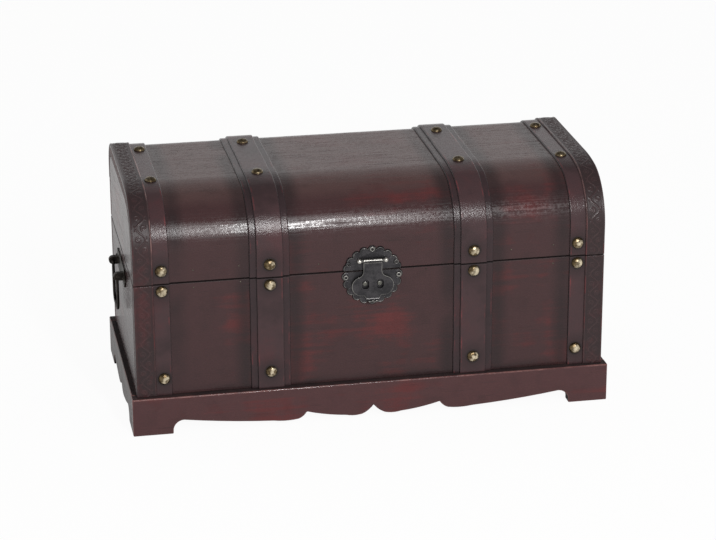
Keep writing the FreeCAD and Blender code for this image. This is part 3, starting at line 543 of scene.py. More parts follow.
@dataclass(frozen=True)
class StrapLeather(Finish):
    """Smooth dark strap with painted shade along its edges, a broken red line beside them and a painted
    shadow round the nails.
    """

    dusk: Colour = tone(38, 32, 33)
    body: Colour = tone(66, 49, 51)
    rubbed: Colour = tone(104, 46, 48)
    scuffed: Colour = tone(118, 56, 58)
    clouds: Cloud = Cloud(24.0)
    mottle: Cloud = Cloud(150.0, shift=0.71)
    breaks: Cloud = Cloud(58.0, 3.0, shift=0.13)
    hide: Cloud = Cloud(420.0, 3.0, 0.65)
    pebble: float = 1500.0
    red_mix: tuple[float, ...] = (0.7, 0.3)
    red_fade: Climb = (0.47, 0.68, 0.15)
    line_place: float = 1.2
    line_fade: Climb = (0.1, 0.7, 0.7)
    line_breaks: Climb = (0.5, 0.68)
    edge_fade: Climb = (0.15, 0.9, 0.85)
    ring_fade: Climb = (0.75, 0.95, 0.85)
    soot_share: float = 0.6
    cloud_fade: Climb = (0.32, 0.5, 0.45)
    seam_share: float = 0.9
    gloss: float = 0.1
    rough_mix: tuple[float, ...] = (0.2, 0.5)
    shine: float = 0.21
    height_mix: tuple[float, ...] = (0.5, 1.2)
    relief: float = 0.13 * MM
    bumpy: float = 0.6

    def draw(self, sheet: NodeSheet) -> None:
        """Put the leather, its painted shaded edges, the painted shadows round the nails and in the seam,
        and its grain on a sheet.

        Args:
            sheet: Empty sheet that takes the nodes.
        """
        where = sheet.place()
        edge, soot = sheet.mark("edge"), sheet.mark("soot")
        broad = (self.clouds, self.mottle, self.breaks)
        clouds, mottle, breaks = (sheet.noise(where, cloud) for cloud in broad)
        red = sheet.total(self.red_mix, clouds, mottle).rise(*self.red_fade)
        colour = sheet.blend(red, self.body, self.rubbed)
        line = abs(edge - self.line_place).fall(*self.line_fade) * breaks.rise(*self.line_breaks)
        colour = sheet.blend(line, colour, self.scuffed)
        # Painted shade along the strap's edges and a painted shadow round each nail; the darker clouds are
        # the leather's own tone.
        dark = edge.fall(*self.edge_fade).most(soot.rise(*self.ring_fade))
        dark = dark.most(soot * self.soot_share).most(clouds.fall(*self.cloud_fade))
        # Painted shade in the seam between case and lid.
        seam = painted_seam_shade(sheet.split(where)[2])
        colour = sheet.blend(dark.most(seam * self.seam_share), colour, self.dusk)
        pebbles = sheet.pebbles(where, self.pebble)
        height = sheet.total(self.height_mix, pebbles, sheet.noise(where, self.hide))
        sheet.surface({
            "Base Color": colour,
            "Roughness": sheet.total(self.rough_mix, mottle, seam) + self.gloss,
            "Specular IOR Level": self.shine,
            "Normal": sheet.bump(height, self.relief, self.bumpy),
        })


@dataclass(frozen=True)
class EmbossedLeather(Finish):
    """Embossed trim, dark in its hollows and rubbed on its ridges, with a painted highlight and a painted
    shaded groove along its inner edge.
    """

    hollow: Colour = tone(50, 39, 40)
    body: Colour = tone(57, 43, 44)
    ridge: Colour = tone(84, 68, 68)
    rubbed: Colour = tone(98, 44, 46)
    pale: Colour = tone(138, 106, 103)
    clouds: Cloud = Cloud(24.0)
    mottle: Cloud = Cloud(170.0, shift=0.53)
    breaks: Cloud = Cloud(58.0, 3.0, shift=0.29)
    hide: Cloud = Cloud(420.0, 3.0)
    pebble: float = 1700.0
    ground_fade: Climb = (0.0, 0.5)
    ridge_fade: Climb = (0.5, 0.95, 0.4)
    ridge_patches: Climb = (0.36, 0.6)
    red_mix: tuple[float, ...] = (0.7, 0.3)
    red_fade: Climb = (0.47, 0.66, 0.3)
    red_heights: Climb = (130 * MM, 175 * MM, 0.8)
    line_place: float = 0.6
    line_fade: Climb = (0.2, 0.7, 0.6)
    line_breaks: Climb = (0.48, 0.66)
    lip: float = 171.1 * MM
    lip_fade: Climb = (0.15 * MM, 0.7 * MM)
    lip_breaks: Climb = (0.36, 0.56)
    lip_heights: Climb = (130 * MM, 160 * MM)
    lip_sides: Climb = (0.0, 0.1, 0.5)
    lip_share: float = 0.8
    groove: float = 172.7 * MM
    groove_fade: Climb = (0.3 * MM, 0.9 * MM, 0.6)
    dull: float = 0.36
    ridge_shine: float = 0.14
    shine: float = 0.21
    height_mix: tuple[float, ...] = (0.5, 1.0)
    depth: float = 0.1 * MM
    bumpy: float = 0.5

    def draw(self, sheet: NodeSheet) -> None:
        """Put the hollows, ridges, rubbed patches and the painted highlight and shade at the inner edge on
        a sheet.

        Args:
            sheet: Empty sheet that takes the nodes.
        """
        where = sheet.place()
        wide, _, high = sheet.split(where)
        relief, edge = sheet.mark("relief"), sheet.mark("edge")
        broad = (self.clouds, self.mottle, self.breaks)
        clouds, mottle, breaks = (sheet.noise(where, cloud) for cloud in broad)
        colour = sheet.blend(relief.rise(*self.ground_fade), self.hollow, self.body)
        ridge = relief.rise(*self.ridge_fade) * mottle.rise(*self.ridge_patches)
        colour = sheet.blend(ridge, colour, self.ridge)
        red = sheet.total(self.red_mix, clouds, mottle).rise(*self.red_fade)
        line = abs(edge - self.line_place).fall(*self.line_fade) * breaks.rise(*self.line_breaks)
        colour = sheet.blend(red.most(line) * (1.0 - high.rise(*self.red_heights)), colour, self.rubbed)
        # Painted highlight: a pale broken line along the inner edge, stronger higher up and on the left
        # end.
        rim_highlight = abs(abs(wide) - self.lip).fall(*self.lip_fade) * breaks.rise(*self.lip_breaks)
        shown = high.rise(*self.lip_heights) * (self.lip_share - wide.rise(*self.lip_sides))
        colour = sheet.blend(rim_highlight * shown, colour, self.pale)
        # Painted shade: a dark line along a groove near the inner edge.
        colour = sheet.blend(abs(abs(wide) - self.groove).fall(*self.groove_fade), colour, self.hollow)
        pebbles = sheet.pebbles(where, self.pebble)
        height = sheet.total(self.height_mix, pebbles, sheet.noise(where, self.hide))
        sheet.surface({
            "Base Color": colour,
            "Roughness": self.dull - relief * self.ridge_shine,
            "Specular IOR Level": self.shine,
            "Normal": sheet.bump(height, self.depth, self.bumpy),
        })


@dataclass(frozen=True)
class WornAndHighlightedMetal(Finish):
    """Cast metal under a dark patina, rubbed bright where it stands proud and painted bright where its mesh
    marks a highlight.
    """

    patina: Colour = tone(52, 51, 53)
    middle: Colour = tone(72, 70, 72)
    bright: Colour = tone(144, 142, 137)
    smooth: float = 0.36
    clouds: Cloud = Cloud(130.0)
    pits: Cloud = Cloud(900.0, 3.0, shift=0.19)
    middle_mix: tuple[float, ...] = (0.7, 0.4)
    middle_fade: Climb = (0.42, 0.68)
    wear_clouds: float = 1.5
    wear_least: float = 0.2
    wear_fade: Climb = (0.25, 0.95)
    metal: float = 0.92
    rough_mix: tuple[float, ...] = (0.2, -0.1)
    matt: Climb = (0.0, 1.0, 0.5)
    height_mix: tuple[float, ...] = (0.6, 0.5)
    relief: float = 0.03 * MM
    bumpy: float = 0.6

    def draw(self, sheet: NodeSheet) -> None:
        """Put the patina, the rubbed metal and the painted highlights on a sheet.

        Args:
            sheet: Empty sheet that takes the nodes.
        """
        where = sheet.place()
        rub = sheet.mark("rub")
        clouds, pits = (sheet.noise(where, cloud) for cloud in (self.clouds, self.pits))
        patchy = sheet.total(self.middle_mix, clouds, pits).rise(*self.middle_fade)
        colour = sheet.blend(patchy, self.patina, self.middle)
        shine = (rub * (clouds * self.wear_clouds + self.wear_least)).rise(*self.wear_fade)
        colour = sheet.blend(shine, colour, self.bright)
        matt = (0.0 - rub).rise(*self.matt)
        sheet.surface({
            "Base Color": colour,
            "Metallic": self.metal,
            "Roughness": sheet.total(self.rough_mix, pits, shine) + matt + self.smooth,
            "Normal": sheet.bump(sheet.total(self.height_mix, pits, clouds), self.relief, self.bumpy),
        })


PANEL_WOOD = StainedWood("mahogany_panel")
END_WOOD = StainedWood("mahogany_end", Grain.ALONG_DEPTH, sprayed=(), sawn=BEYOND, gloss=0.16,
                       relief=0.06 * MM, flecks=0.06)
PLINTH_WOOD = StainedWood("mahogany_plinth", sprayed=(), foot=-BEYOND, sawn=BEYOND, ledge=PLINTH_TOP,
                          redness=-0.01, wear=0.8, body=tone(76, 50, 51), gloss=0.08,
                          clouds=Cloud(19.0, 3.0, 0.5, 0.53))
# The plinth's end boards are a darker, less red copy of its wood: painted shade on the ends.
PLINTH_END_WOOD = StainedWood("mahogany_plinth_end", Grain.ALONG_DEPTH, sprayed=(), foot=-BEYOND,
                              sawn=BEYOND, ledge=PLINTH_TOP, redness=-0.08, wear=0.8,
                              body=tone(62, 48, 48), gloss=0.2, relief=0.06 * MM, flecks=0.06)
STRAP = StrapLeather("strap_hide")
STRAP_UNDER = StrapLeather("strap_under_hide", body=tone(54, 42, 44), scuffed=tone(96, 50, 52))
TRIM = EmbossedLeather("trim_hide")
NAIL_BRASS = WornAndHighlightedMetal("antique_brass", tone(66, 53, 36), tone(114, 98, 71), tone(218, 205, 178),
                         smooth=0.24, clouds=Cloud(420.0))
HASP_BRONZE = WornAndHighlightedMetal("blackened_bronze")
# The pin's bronze is a much lighter copy of the hasp's: rubbed metal with a painted highlight.
HASP_PIN_BRONZE = WornAndHighlightedMetal("rubbed_pin_bronze", tone(150, 147, 140), tone(206, 202, 194),
                              tone(226, 222, 214), smooth=0.22)
HASP_POST_BRONZE = WornAndHighlightedMetal("post_bronze", tone(82, 82, 77), tone(110, 109, 102))
HANDLE_BRONZE = WornAndHighlightedMetal("dark_handle_bronze", tone(42, 39, 37), tone(62, 57, 53),
                            tone(124, 116, 104), smooth=0.4)
HINGE_BRASS = WornAndHighlightedMetal("hinge_brass", tone(104, 84, 50), tone(150, 126, 80), tone(212, 190, 140),
                          smooth=0.3)


@dataclass
class Draft:
    """Points, faces and marks of a piece that is being drawn up."""

    points: list[np.ndarray] = field(default_factory=list)
    faces: list[list[int]] = field(default_factory=list)
    marks: dict[str, list[np.ndarray]] = field(default_factory=dict)
    count: int = 0

    def skin(self, rows: np.ndarray, **marks: np.ndarray) -> None:
        """Add a closed skin through rings of points, with a flat cap at each end.

        Args:
            rows: Rings by points by three coordinates.
            marks: Numbers for each point, by mark name; each call on a draft gives the same names.
        """
        rings, width = rows.shape[:2]
        index = np.arange(rings * width).reshape(rings, width) + self.count
        beside = np.roll(index, -1, axis=1)
        quads = np.stack([index[:-1], beside[:-1], beside[1:], index[1:]], axis=-1)
        self.faces += quads.reshape(-1, 4).tolist()
        self.faces += [index[0][::-1].tolist(), index[-1].tolist()]
        self.points.append(rows.reshape(-1, 3))
        self.count += rings * width
        for name, values in marks.items():
            self.marks.setdefault(name, []).append(np.broadcast_to(values, (rings, width)).ravel())

    def piece(self, name: str, crease: float = PLAIN_CREASE) -> bpy.types.Object:
        """Make the object.

        Args:
            name: Name of the object.
            crease: Angle in degrees above which an edge stays sharp.

        Returns:
            The new object, linked to the scene.
        """
        mesh = bpy.data.meshes.new(name)
        mesh.from_pydata(np.concatenate(self.points).tolist(), [], self.faces)
        for mark, values in self.marks.items():
            layer = mesh.attributes.new(mark, "FLOAT", "POINT")
            layer.data.foreach_set("value", np.concatenate(values).astype(np.float32))
        work = bmesh.new()
        work.from_mesh(mesh)
        bmesh.ops.recalc_face_normals(work, faces=work.faces)
        return linked(name, work, mesh, crease)


def smoothed(work: bmesh.types.BMesh, mesh: bpy.types.Mesh, crease: float) -> None:
    """Write a worked mesh back, smooth but for its creases.

    Args:
        work: The worked mesh, which is freed.
        mesh: Mesh that takes it.
        crease: Angle in degrees above which an edge stays sharp.
    """
    work.to_mesh(mesh)
    work.free()
    mesh.polygons.foreach_set("use_smooth", np.ones(len(mesh.polygons), bool))
    mesh.set_sharp_from_angle(angle=math.radians(crease))


def linked(name: str, work: bmesh.types.BMesh, mesh: bpy.types.Mesh, crease: float) -> bpy.types.Object:
    """Write a worked mesh back and link its object.

    Args:
        name: Name of the object.
        work: The worked mesh, which is freed.
        mesh: Mesh that takes it.
        crease: Angle in degrees above which an edge stays sharp.

    Returns:
        The new object.
    """
    smoothed(work, mesh, crease)
    made = bpy.data.objects.new(name, mesh)
    bpy.context.scene.collection.objects.link(made)
    return made


def fitted(made: bpy.types.Object, finish: Finish, *nodes: str) -> bpy.types.Object:
    """Finish a piece and set it in the place of its nodes.

    Args:
        made: The piece.
        finish: Its finish.
        nodes: Nodes that it stands for; it rides on the body of the first one.

    Returns:
        The piece.
    """
    first = frame["nodes"][nodes[0]]
    made.data.materials.clear()
    made.data.materials.append(finish.material())
    first.data.materials[0].name.split(".")[0]
    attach(made, first["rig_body"])
    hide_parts(*nodes)
    return made


def eased(node: str, finish: Finish, edge: float, crease: float = PLAIN_CREASE,
          shaded: Optional[Callable[[bmesh.types.BMFace], bool]] = None,
          rubbed: Optional[Callable[[Vector, float], float]] = None, line: float = 0.0) -> bpy.types.Object:
    """Make a copy of a node with rounded edges that carry the mark for wear.

    Args:
        node: Name of the node.
        finish: Finish of the copy.
        edge: Width of the rounding.
        crease: Angle in degrees above which an edge is rounded.
        shaded: Test for the faces that get the mark for painted shade.
        rubbed: Gives the wear, and a painted highlight where it adds one, at a point from the wear of its
            edge.
        line: Width of a worn line along the rounding on the front.

    Returns:
        The copy, in the place of the node.
    """
    work = bmesh.new()
    work.from_mesh(frame["nodes"][node].data)
    bmesh.ops.remove_doubles(work, verts=work.verts, dist=WELD)
    bmesh.ops.dissolve_limit(work, angle_limit=math.radians(FLAT), verts=work.verts, edges=work.edges)
    sharp = math.radians(crease)
    hard = [side for side in work.edges if len(side.link_faces) == 2 and side.calc_face_angle() > sharp]
    rounded = bmesh.ops.bevel(work, geom=hard, offset=edge, offset_type="OFFSET", segments=ROUND_STEPS,
                              profile=0.5, affect="EDGES", clamp_overlap=True)
    rub = work.verts.layers.float.new("rub")
    band = set(rounded["faces"])
    for point in work.verts:
        point[rub] = float(all(face in band for face in point.link_faces))
    if line:
        fronts = [face for face in work.faces if face not in band and face.normal.y < FRONTAL]
        beside = bmesh.ops.inset_region(work, faces=fronts, thickness=line,
                                        use_boundary=True, use_even_offset=True)
        for point in {point for face in beside["faces"] for point in face.verts}:
            point[rub] = max(point[rub], LINE_RUB * any(face in band for face in point.link_faces))
    if rubbed:
        for point in work.verts:
            point[rub] = rubbed(point.co, point[rub])
    if shaded:
        shade = work.faces.layers.float.new("shade")
        for face in work.faces:
            face[shade] = float(shaded(face))
    name = node + ".eased"
    made = linked(name, work, bpy.data.meshes.new(name), crease)
    evened = made.modifiers.new("even_normals", "WEIGHTED_NORMAL")
    evened.keep_sharp = True
    return fitted(made, finish, node)


class Assembly(ABC):
    """A group of pieces that are made together."""

    @abstractmethod
    def build(self) -> Iterable[bpy.types.Object]:
        """Make the pieces one after another."""


@dataclass
class Plinth(Assembly):
    """The four scalloped boards on feet."""

    edge: float = 0.8 * MM
    across_most: float = 0.6
    upward_most: float = 0.5
    inner_share: float = 0.99

    def build(self) -> Iterable[bpy.types.Object]:
        """Ease the edges of the boards and finish them.

        Returns:
            The boards, one after another.
        """
        for side, finish in (("front", PLINTH_WOOD), ("back", PLINTH_WOOD),
                             ("left", PLINTH_END_WOOD), ("right", PLINTH_END_WOOD)):
            node = "plinth_" + side
            yield eased(node, finish, self.edge, shaded=self.sawn(node))

    def sawn(self, node: str) -> Callable[[bmesh.types.BMFace], bool]:
        """Give the test for the sawn faces along the lower edge of a board, which take painted shade.

        Args:
            node: Name of the board.

        Returns:
            The test, which takes a face.
        """
        low, high = (np.array(corner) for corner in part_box(node))
        across, along = np.argsort((high - low)[:2])
        reach = self.inner_share * high[along]
        return lambda face: (abs(face.normal[across]) < self.across_most
                             and face.normal.z < self.upward_most
                             and abs(face.calc_center_median()[along]) < reach)


@dataclass
class Case(Assembly):
    """The four walls and the bottom."""

    edge: float = 0.7 * MM

    def build(self) -> Iterable[bpy.types.Object]:
        """Ease the edges of the boards and finish them.

        Returns:
            The boards, one after another.
        """
        for side, finish in (("front", PANEL_WOOD), ("back", PANEL_WOOD), ("bottom", PANEL_WOOD),
                             ("left", END_WOOD), ("right", END_WOOD)):
            yield eased("case_" + side, finish, self.edge)


@dataclass
class Route:
    """Points and outward normals along a line in the plane of depth and height."""

    points: np.ndarray
    normals: np.ndarray
    along: np.ndarray

    def raised(self, heights: np.ndarray) -> np.ndarray:
        """Give the points moved out by heights of stations by samples."""
        return self.points[:, None, :] + self.normals[:, None, :] * heights[:, :, None]

    def seat(self, depth: float) -> tuple[Vector, Vector]:
        """Give the point of the upper side at a depth, with its normal.

        Args:
            depth: Depth of the point.

        Returns:
            The point and the normal, in the plane across the chest.
        """
        upper = self.normals[:, 1] > UPRIGHT
        best = np.argmin(np.where(upper, np.abs(self.points[:, 0] - depth), np.inf))
        return Vector((0, *self.points[best])), Vector((0, *self.normals[best]))


@dataclass(frozen=True)
class Profile:
    """Section of the chest's front and lid, seen along its length."""

    front: float = FRONT
    back: float = -FRONT
    case_low: float = PLINTH_TOP
    case_high: float = 122.2 * MM
    lid_low: float = 123.0 * MM
    lid_high: float = 187.2 * MM
    shell_end: float = 161.2 * MM
    strap_end: float = 155.2 * MM
    front_bend: float = 40.0 * MM
    eased_bend: float = 150.0 * MM
    eased_from: float = math.radians(80.0)
    back_bend: float = 22.0 * MM
    bend_steps: int = 40

    def _bow(self, centre: np.ndarray, radius: float, start: float, stop: float) -> list[np.ndarray]:
        """Give an arc about a centre, from the front over the top.

        Args:
            centre: Middle of the arc.
            radius: Radius of the arc.
            start: First angle, from the front.
            stop: Last angle.

        Returns:
            The points and their normals.
        """
        turn = np.linspace(start, stop, self.bend_steps)
        normals = np.stack([-np.cos(turn), np.sin(turn)], axis=1)
        return [centre + radius * normals, normals]

    def lid(self, end: float, step: float, ends: tuple[float, ...] = ()) -> Route:
        """Follow the outside of the lid from its front edge over the top to the back.

        Args:
            end: Height of the last point, on the back.
            step: Distance between points.
            ends: Further distances from each end that get a point.

        Returns:
            The line.
        """
        rise = math.sin(self.eased_from)
        low = self.lid_high - self.front_bend * rise - self.eased_bend * (1 - rise)
        main = self._bow(np.array([self.front + self.front_bend, low]), self.front_bend, 0, self.eased_from)
        middle = main[0][-1] - self.eased_bend * main[1][-1]
        ease = self._bow(middle, self.eased_bend, self.eased_from, math.pi / 2)
        corner = np.array([self.back - self.back_bend, self.lid_high - self.back_bend])
        rear = self._bow(corner, self.back_bend, math.pi / 2, math.pi)
        first, last = [[self.front, self.lid_low]], [[self.back, end]]
        points = np.concatenate([first, main[0], ease[0], rear[0], last])
        normals = np.concatenate([[[-1, 0]], main[1], ease[1], rear[1], [[1, 0]]])
        return self._even(points, normals, step, ends)

    def case(self, step: float, ends: tuple[float, ...] = ()) -> Route:
        """Follow the front of the case upwards.

        Args:
            step: Distance between points.
            ends: Further distances from each end that get a point.

        Returns:
            The line.
        """
        points = np.array([[self.front, self.case_low], [self.front, self.case_high]])
        return self._even(points, np.array([[-1.0, 0.0], [-1.0, 0.0]]), step, ends)

    @staticmethod
    def _even(points: np.ndarray, normals: np.ndarray, step: float, ends: tuple[float, ...]) -> Route:
        """Give a line with points at even distances.

        Args:
            points: Points of the line.
            normals: Their normals.
            step: Distance between the new points.
            ends: Further distances from each end that get a point.

        Returns:
            The line.
        """
        gaps = np.linalg.norm(np.diff(points, axis=0), axis=1)
        run = np.concatenate([[0.0], np.cumsum(gaps)])
        even = np.linspace(0.0, run[-1], int(round(run[-1] / step)) + 1)
        along = np.unique(np.concatenate([even, ends, run[-1] - np.array(ends)]))
        placed = np.stack([np.interp(along, run, points[:, axis]) for axis in (0, 1)], axis=1)
        turned = np.stack([np.interp(along, run, normals[:, axis]) for axis in (0, 1)], axis=1)
        turned /= np.linalg.norm(turned, axis=1, keepdims=True)
        return Route(placed, turned, along)


PROFILE = Profile()


@dataclass
class Lid(Assembly):
    """The bent lid board, its ends and its back."""

    half_width: float = 186.0 * MM
    thickness: float = 8.0 * MM
    edge: float = 0.7 * MM
    waver: float = 0.06 * MM
    waves: tuple[Span, ...] = ((0.11, 0.07), (0.05, 0.09))
    first_seed: int = 3
    pitch: float = 4.0 * MM
    station: float = 1.5 * MM
    steps: tuple[float, ...] = (0.0, 0.1, 0.3, 0.6, 1.0)
    worn_from: float = 0.3

    def build(self) -> Iterable[bpy.types.Object]:
        """Bend the shell and ease the other boards.

        Returns:
            The boards, one after another.
        """
        yield self.shell()
        yield eased("lid_back", PANEL_WOOD, self.edge)
        for side in ("left", "right"):
            yield eased("lid_" + side, END_WOOD, self.edge)

    def shell(self) -> bpy.types.Object:
        """Bend the lid board, slightly uneven on its outside.

        Returns:
            The shell in the place of its node.
        """
        near = tuple(part * self.edge for part in self.steps)
        route = PROFILE.lid(PROFILE.shell_end, self.station, near)
        count = int(2 * self.half_width / self.pitch)
        inner = np.linspace(-self.half_width, self.half_width, count + 1)[1:-1]
        outer = self.half_width - np.array(near)
        across = np.unique(np.concatenate([inner, outer, -outer]))
        end_gap = np.minimum(self.half_width - np.abs(across), self.edge)
        lip_gap = np.minimum(np.minimum(route.along, route.along[-1] - route.along), self.edge)
        end_drop, lip_drop = (self.edge - np.sqrt(self.edge ** 2 - (self.edge - gap) ** 2)
                              for gap in (end_gap, lip_gap))
        drop = end_drop[:, None] + lip_drop[None, :]
        sink = drop + self.waver * self.uneven(across, route.along)
        rows = []
        for place, low, high in zip(across, -sink, end_drop - self.thickness):
            outside = route.raised(low[:, None])[:, 0]
            inside = route.raised(np.full((len(low), 1), high))[::-1, 0]
            ring = np.concatenate([outside, inside])
            rows.append(np.column_stack([np.full(len(ring), place), ring]))
        share = np.clip(drop / (self.worn_from * self.edge), 0, 1)
        draft = Draft()
        draft.skin(np.array(rows), rub=np.concatenate([share, 0 * share], axis=1))
        return fitted(draft.piece("lid_shell.bent"), PANEL_WOOD, "lid_shell")

    def uneven(self, across: np.ndarray, along: np.ndarray) -> np.ndarray:
        """Give the waver of the lid's outside.

        Args:
            across: Places along the length of the chest.
            along: Distances along the bent section.

        Returns:
            Numbers from about 0 to 2 at each pair of them.
        """
        total = np.zeros((len(across), len(along)))
        for index, (wide, deep) in enumerate(self.waves):
            seed = self.first_seed + 2 * index
            total += np.outer(wander(across, wide, seed), wander(along, deep, seed + 1))
        return 1 + total / len(self.waves)


@dataclass(frozen=True)
class Scroll:
    """Raised vine with curls, flowers and leaves that repeats along a trim, in millimetres."""

    repeat: float = 16.0
    rows: int = 46
    swing: float = 3.2
    curl_place: float = 2.5
    curl_wide: float = 2.3
    curl_tight: float = 1.0
    stem: float = 0.42
    flower: float = 0.95
    petals: int = 5
    petal_depth: float = 0.2
    dish: float = 0.35
    leaf_long: float = 1.2
    leaf_wide: float = 0.48
    leaf_off: Span = (1.4, 1.1)
    leaf_lean: float = 0.55
    leaf_high: float = 0.85
    border: float = 6.35
    rim: float = 7.05
    rim_half: float = 0.5
    rim_high: float = 0.9
    field_high: float = 0.95
    vine_points: int = 270
    curl_points: int = 60
    curl_start: float = math.radians(150)
    curl_turn: float = math.radians(400)
    curl_high: float = 0.9
    curl_stem: float = 0.85

    def tile(self, across: np.ndarray) -> np.ndarray:
        """Give the heights of one repeat.

        Args:
            across: Places of the samples across the trim, from its middle line.

        Returns:
            Heights from 0 to 1, rows along the trim by samples across it.
        """
        along = np.arange(self.rows) * self.repeat / self.rows
        spot = np.stack(np.broadcast_arrays(along[:, None], across[None, :]), axis=-1)
        run = np.linspace(-self.repeat, 2 * self.repeat, self.vine_points)
        vine = np.stack([run, self.swing * np.sin(2 * math.pi * run / self.repeat)], axis=1)
        forms = [self._ridge(spot, vine, self.stem)]
        for half in range(-2, 4):
            side = 1 if half % 2 == 0 else -1
            place = (half + 0.5) * self.repeat / 2
            centre = np.array([place, -side * self.curl_place])
            turn = np.linspace(0.0, 1.0, self.curl_points)
            angle = side * (self.curl_start - turn * self.curl_turn)
            reach = self.curl_wide + (self.curl_tight - self.curl_wide) * turn
            curl = centre + reach[:, None] * np.stack([np.cos(angle), np.sin(angle)], axis=1)
            forms.append(self.curl_high * self._ridge(spot, curl, self.curl_stem * self.stem))
            forms.append(self._flower(spot - centre))
            for lean in (-1, 1):
                off = [place + lean * self.leaf_off[0], side * (self.swing + self.leaf_off[1])]
                forms.append(self._leaf(spot - off, lean * side * self.leaf_lean))
        inside = np.abs(across)[None, :] < self.border
        rim = np.exp(-((np.abs(across) - self.rim) / self.rim_half) ** 2)[None, :]
        return np.where(inside, np.max(forms, axis=0), 0.0) * self.field_high + self.rim_high * rim

    @staticmethod
    def _ridge(spot: np.ndarray, line: np.ndarray, half: float) -> np.ndarray:
        """Give the height of a rounded ridge along a line.

        Args:
            spot: Points at which it is read.
            line: Points of the line.
            half: Half width of the ridge.

        Returns:
            Heights from 0 to 1.
        """
        gap = np.linalg.norm(spot[:, :, None, :] - line[None, None, :, :], axis=-1).min(axis=-1)
        return np.exp(-(gap / half) ** 2)

    def _flower(self, spot: np.ndarray) -> np.ndarray:
        """Give the height of a small flower.

        Args:
            spot: Points at which it is read, from its middle.

        Returns:
            Heights from 0 to 1.
        """
        angle = np.arctan2(spot[..., 1], spot[..., 0])
        reach = self.flower * (1 - self.petal_depth * (1 - np.cos(self.petals * angle)))
        share = np.clip(np.linalg.norm(spot, axis=-1) / reach, 0, 1)
        return (1 - share ** 4) * (1 - self.dish * np.sin(share * math.pi) ** 2)

    def _leaf(self, spot: np.ndarray, lean: float) -> np.ndarray:
        """Give the height of a leaning leaf.

        Args:
            spot: Points at which it is read, from its middle.
            lean: Angle at which it leans.

        Returns:
            Heights from 0 to 1.
        """
        long = spot[..., 0] * math.cos(lean) + spot[..., 1] * math.sin(lean)
        wide = spot[..., 1] * math.cos(lean) - spot[..., 0] * math.sin(lean)
        share = (long / self.leaf_long) ** 2 + (wide / self.leaf_wide) ** 2
        return np.clip(1 - share, 0, 1) ** 0.5 * self.leaf_high


@dataclass
class NailRows:
    """Where the dome nails sit, and the straps that carry them."""

    columns: tuple[Span, ...] = ((80.5 * MM, 2.8 * MM), (164.25 * MM, 1.4 * MM))
    case_rows: tuple[float, ...] = (44.8 * MM, 117.0 * MM)
    lid_row: float = 133.5 * MM
    top_rows: tuple[float, ...] = (-30.5 * MM, 49.5 * MM)
    station: float = 0.5 * MM

    def seats(self, on_lid: bool) -> list[tuple[Vector, Vector]]:
        """Give the seats of the nails of the lid or of the case.

        Args:
            on_lid: Whether the nails of the lid are meant.

        Returns:
            The point under each head and the direction in which the head stands.
        """
        route = PROFILE.lid(PROFILE.strap_end, self.station)
        rows = [self.lid_row] if on_lid else self.case_rows
        lines = [(Vector((0, PROFILE.front, row)), Vector((0, -1, 0))) for row in rows]
        if on_lid:
            lines += [route.seat(depth) for depth in self.top_rows]
        return [(point + Vector((side * across, 0, 0)) + way * layer, way)
                for across, layer in self.columns for side in (-1, 1) for point, way in lines]


NAILS = NailRows()


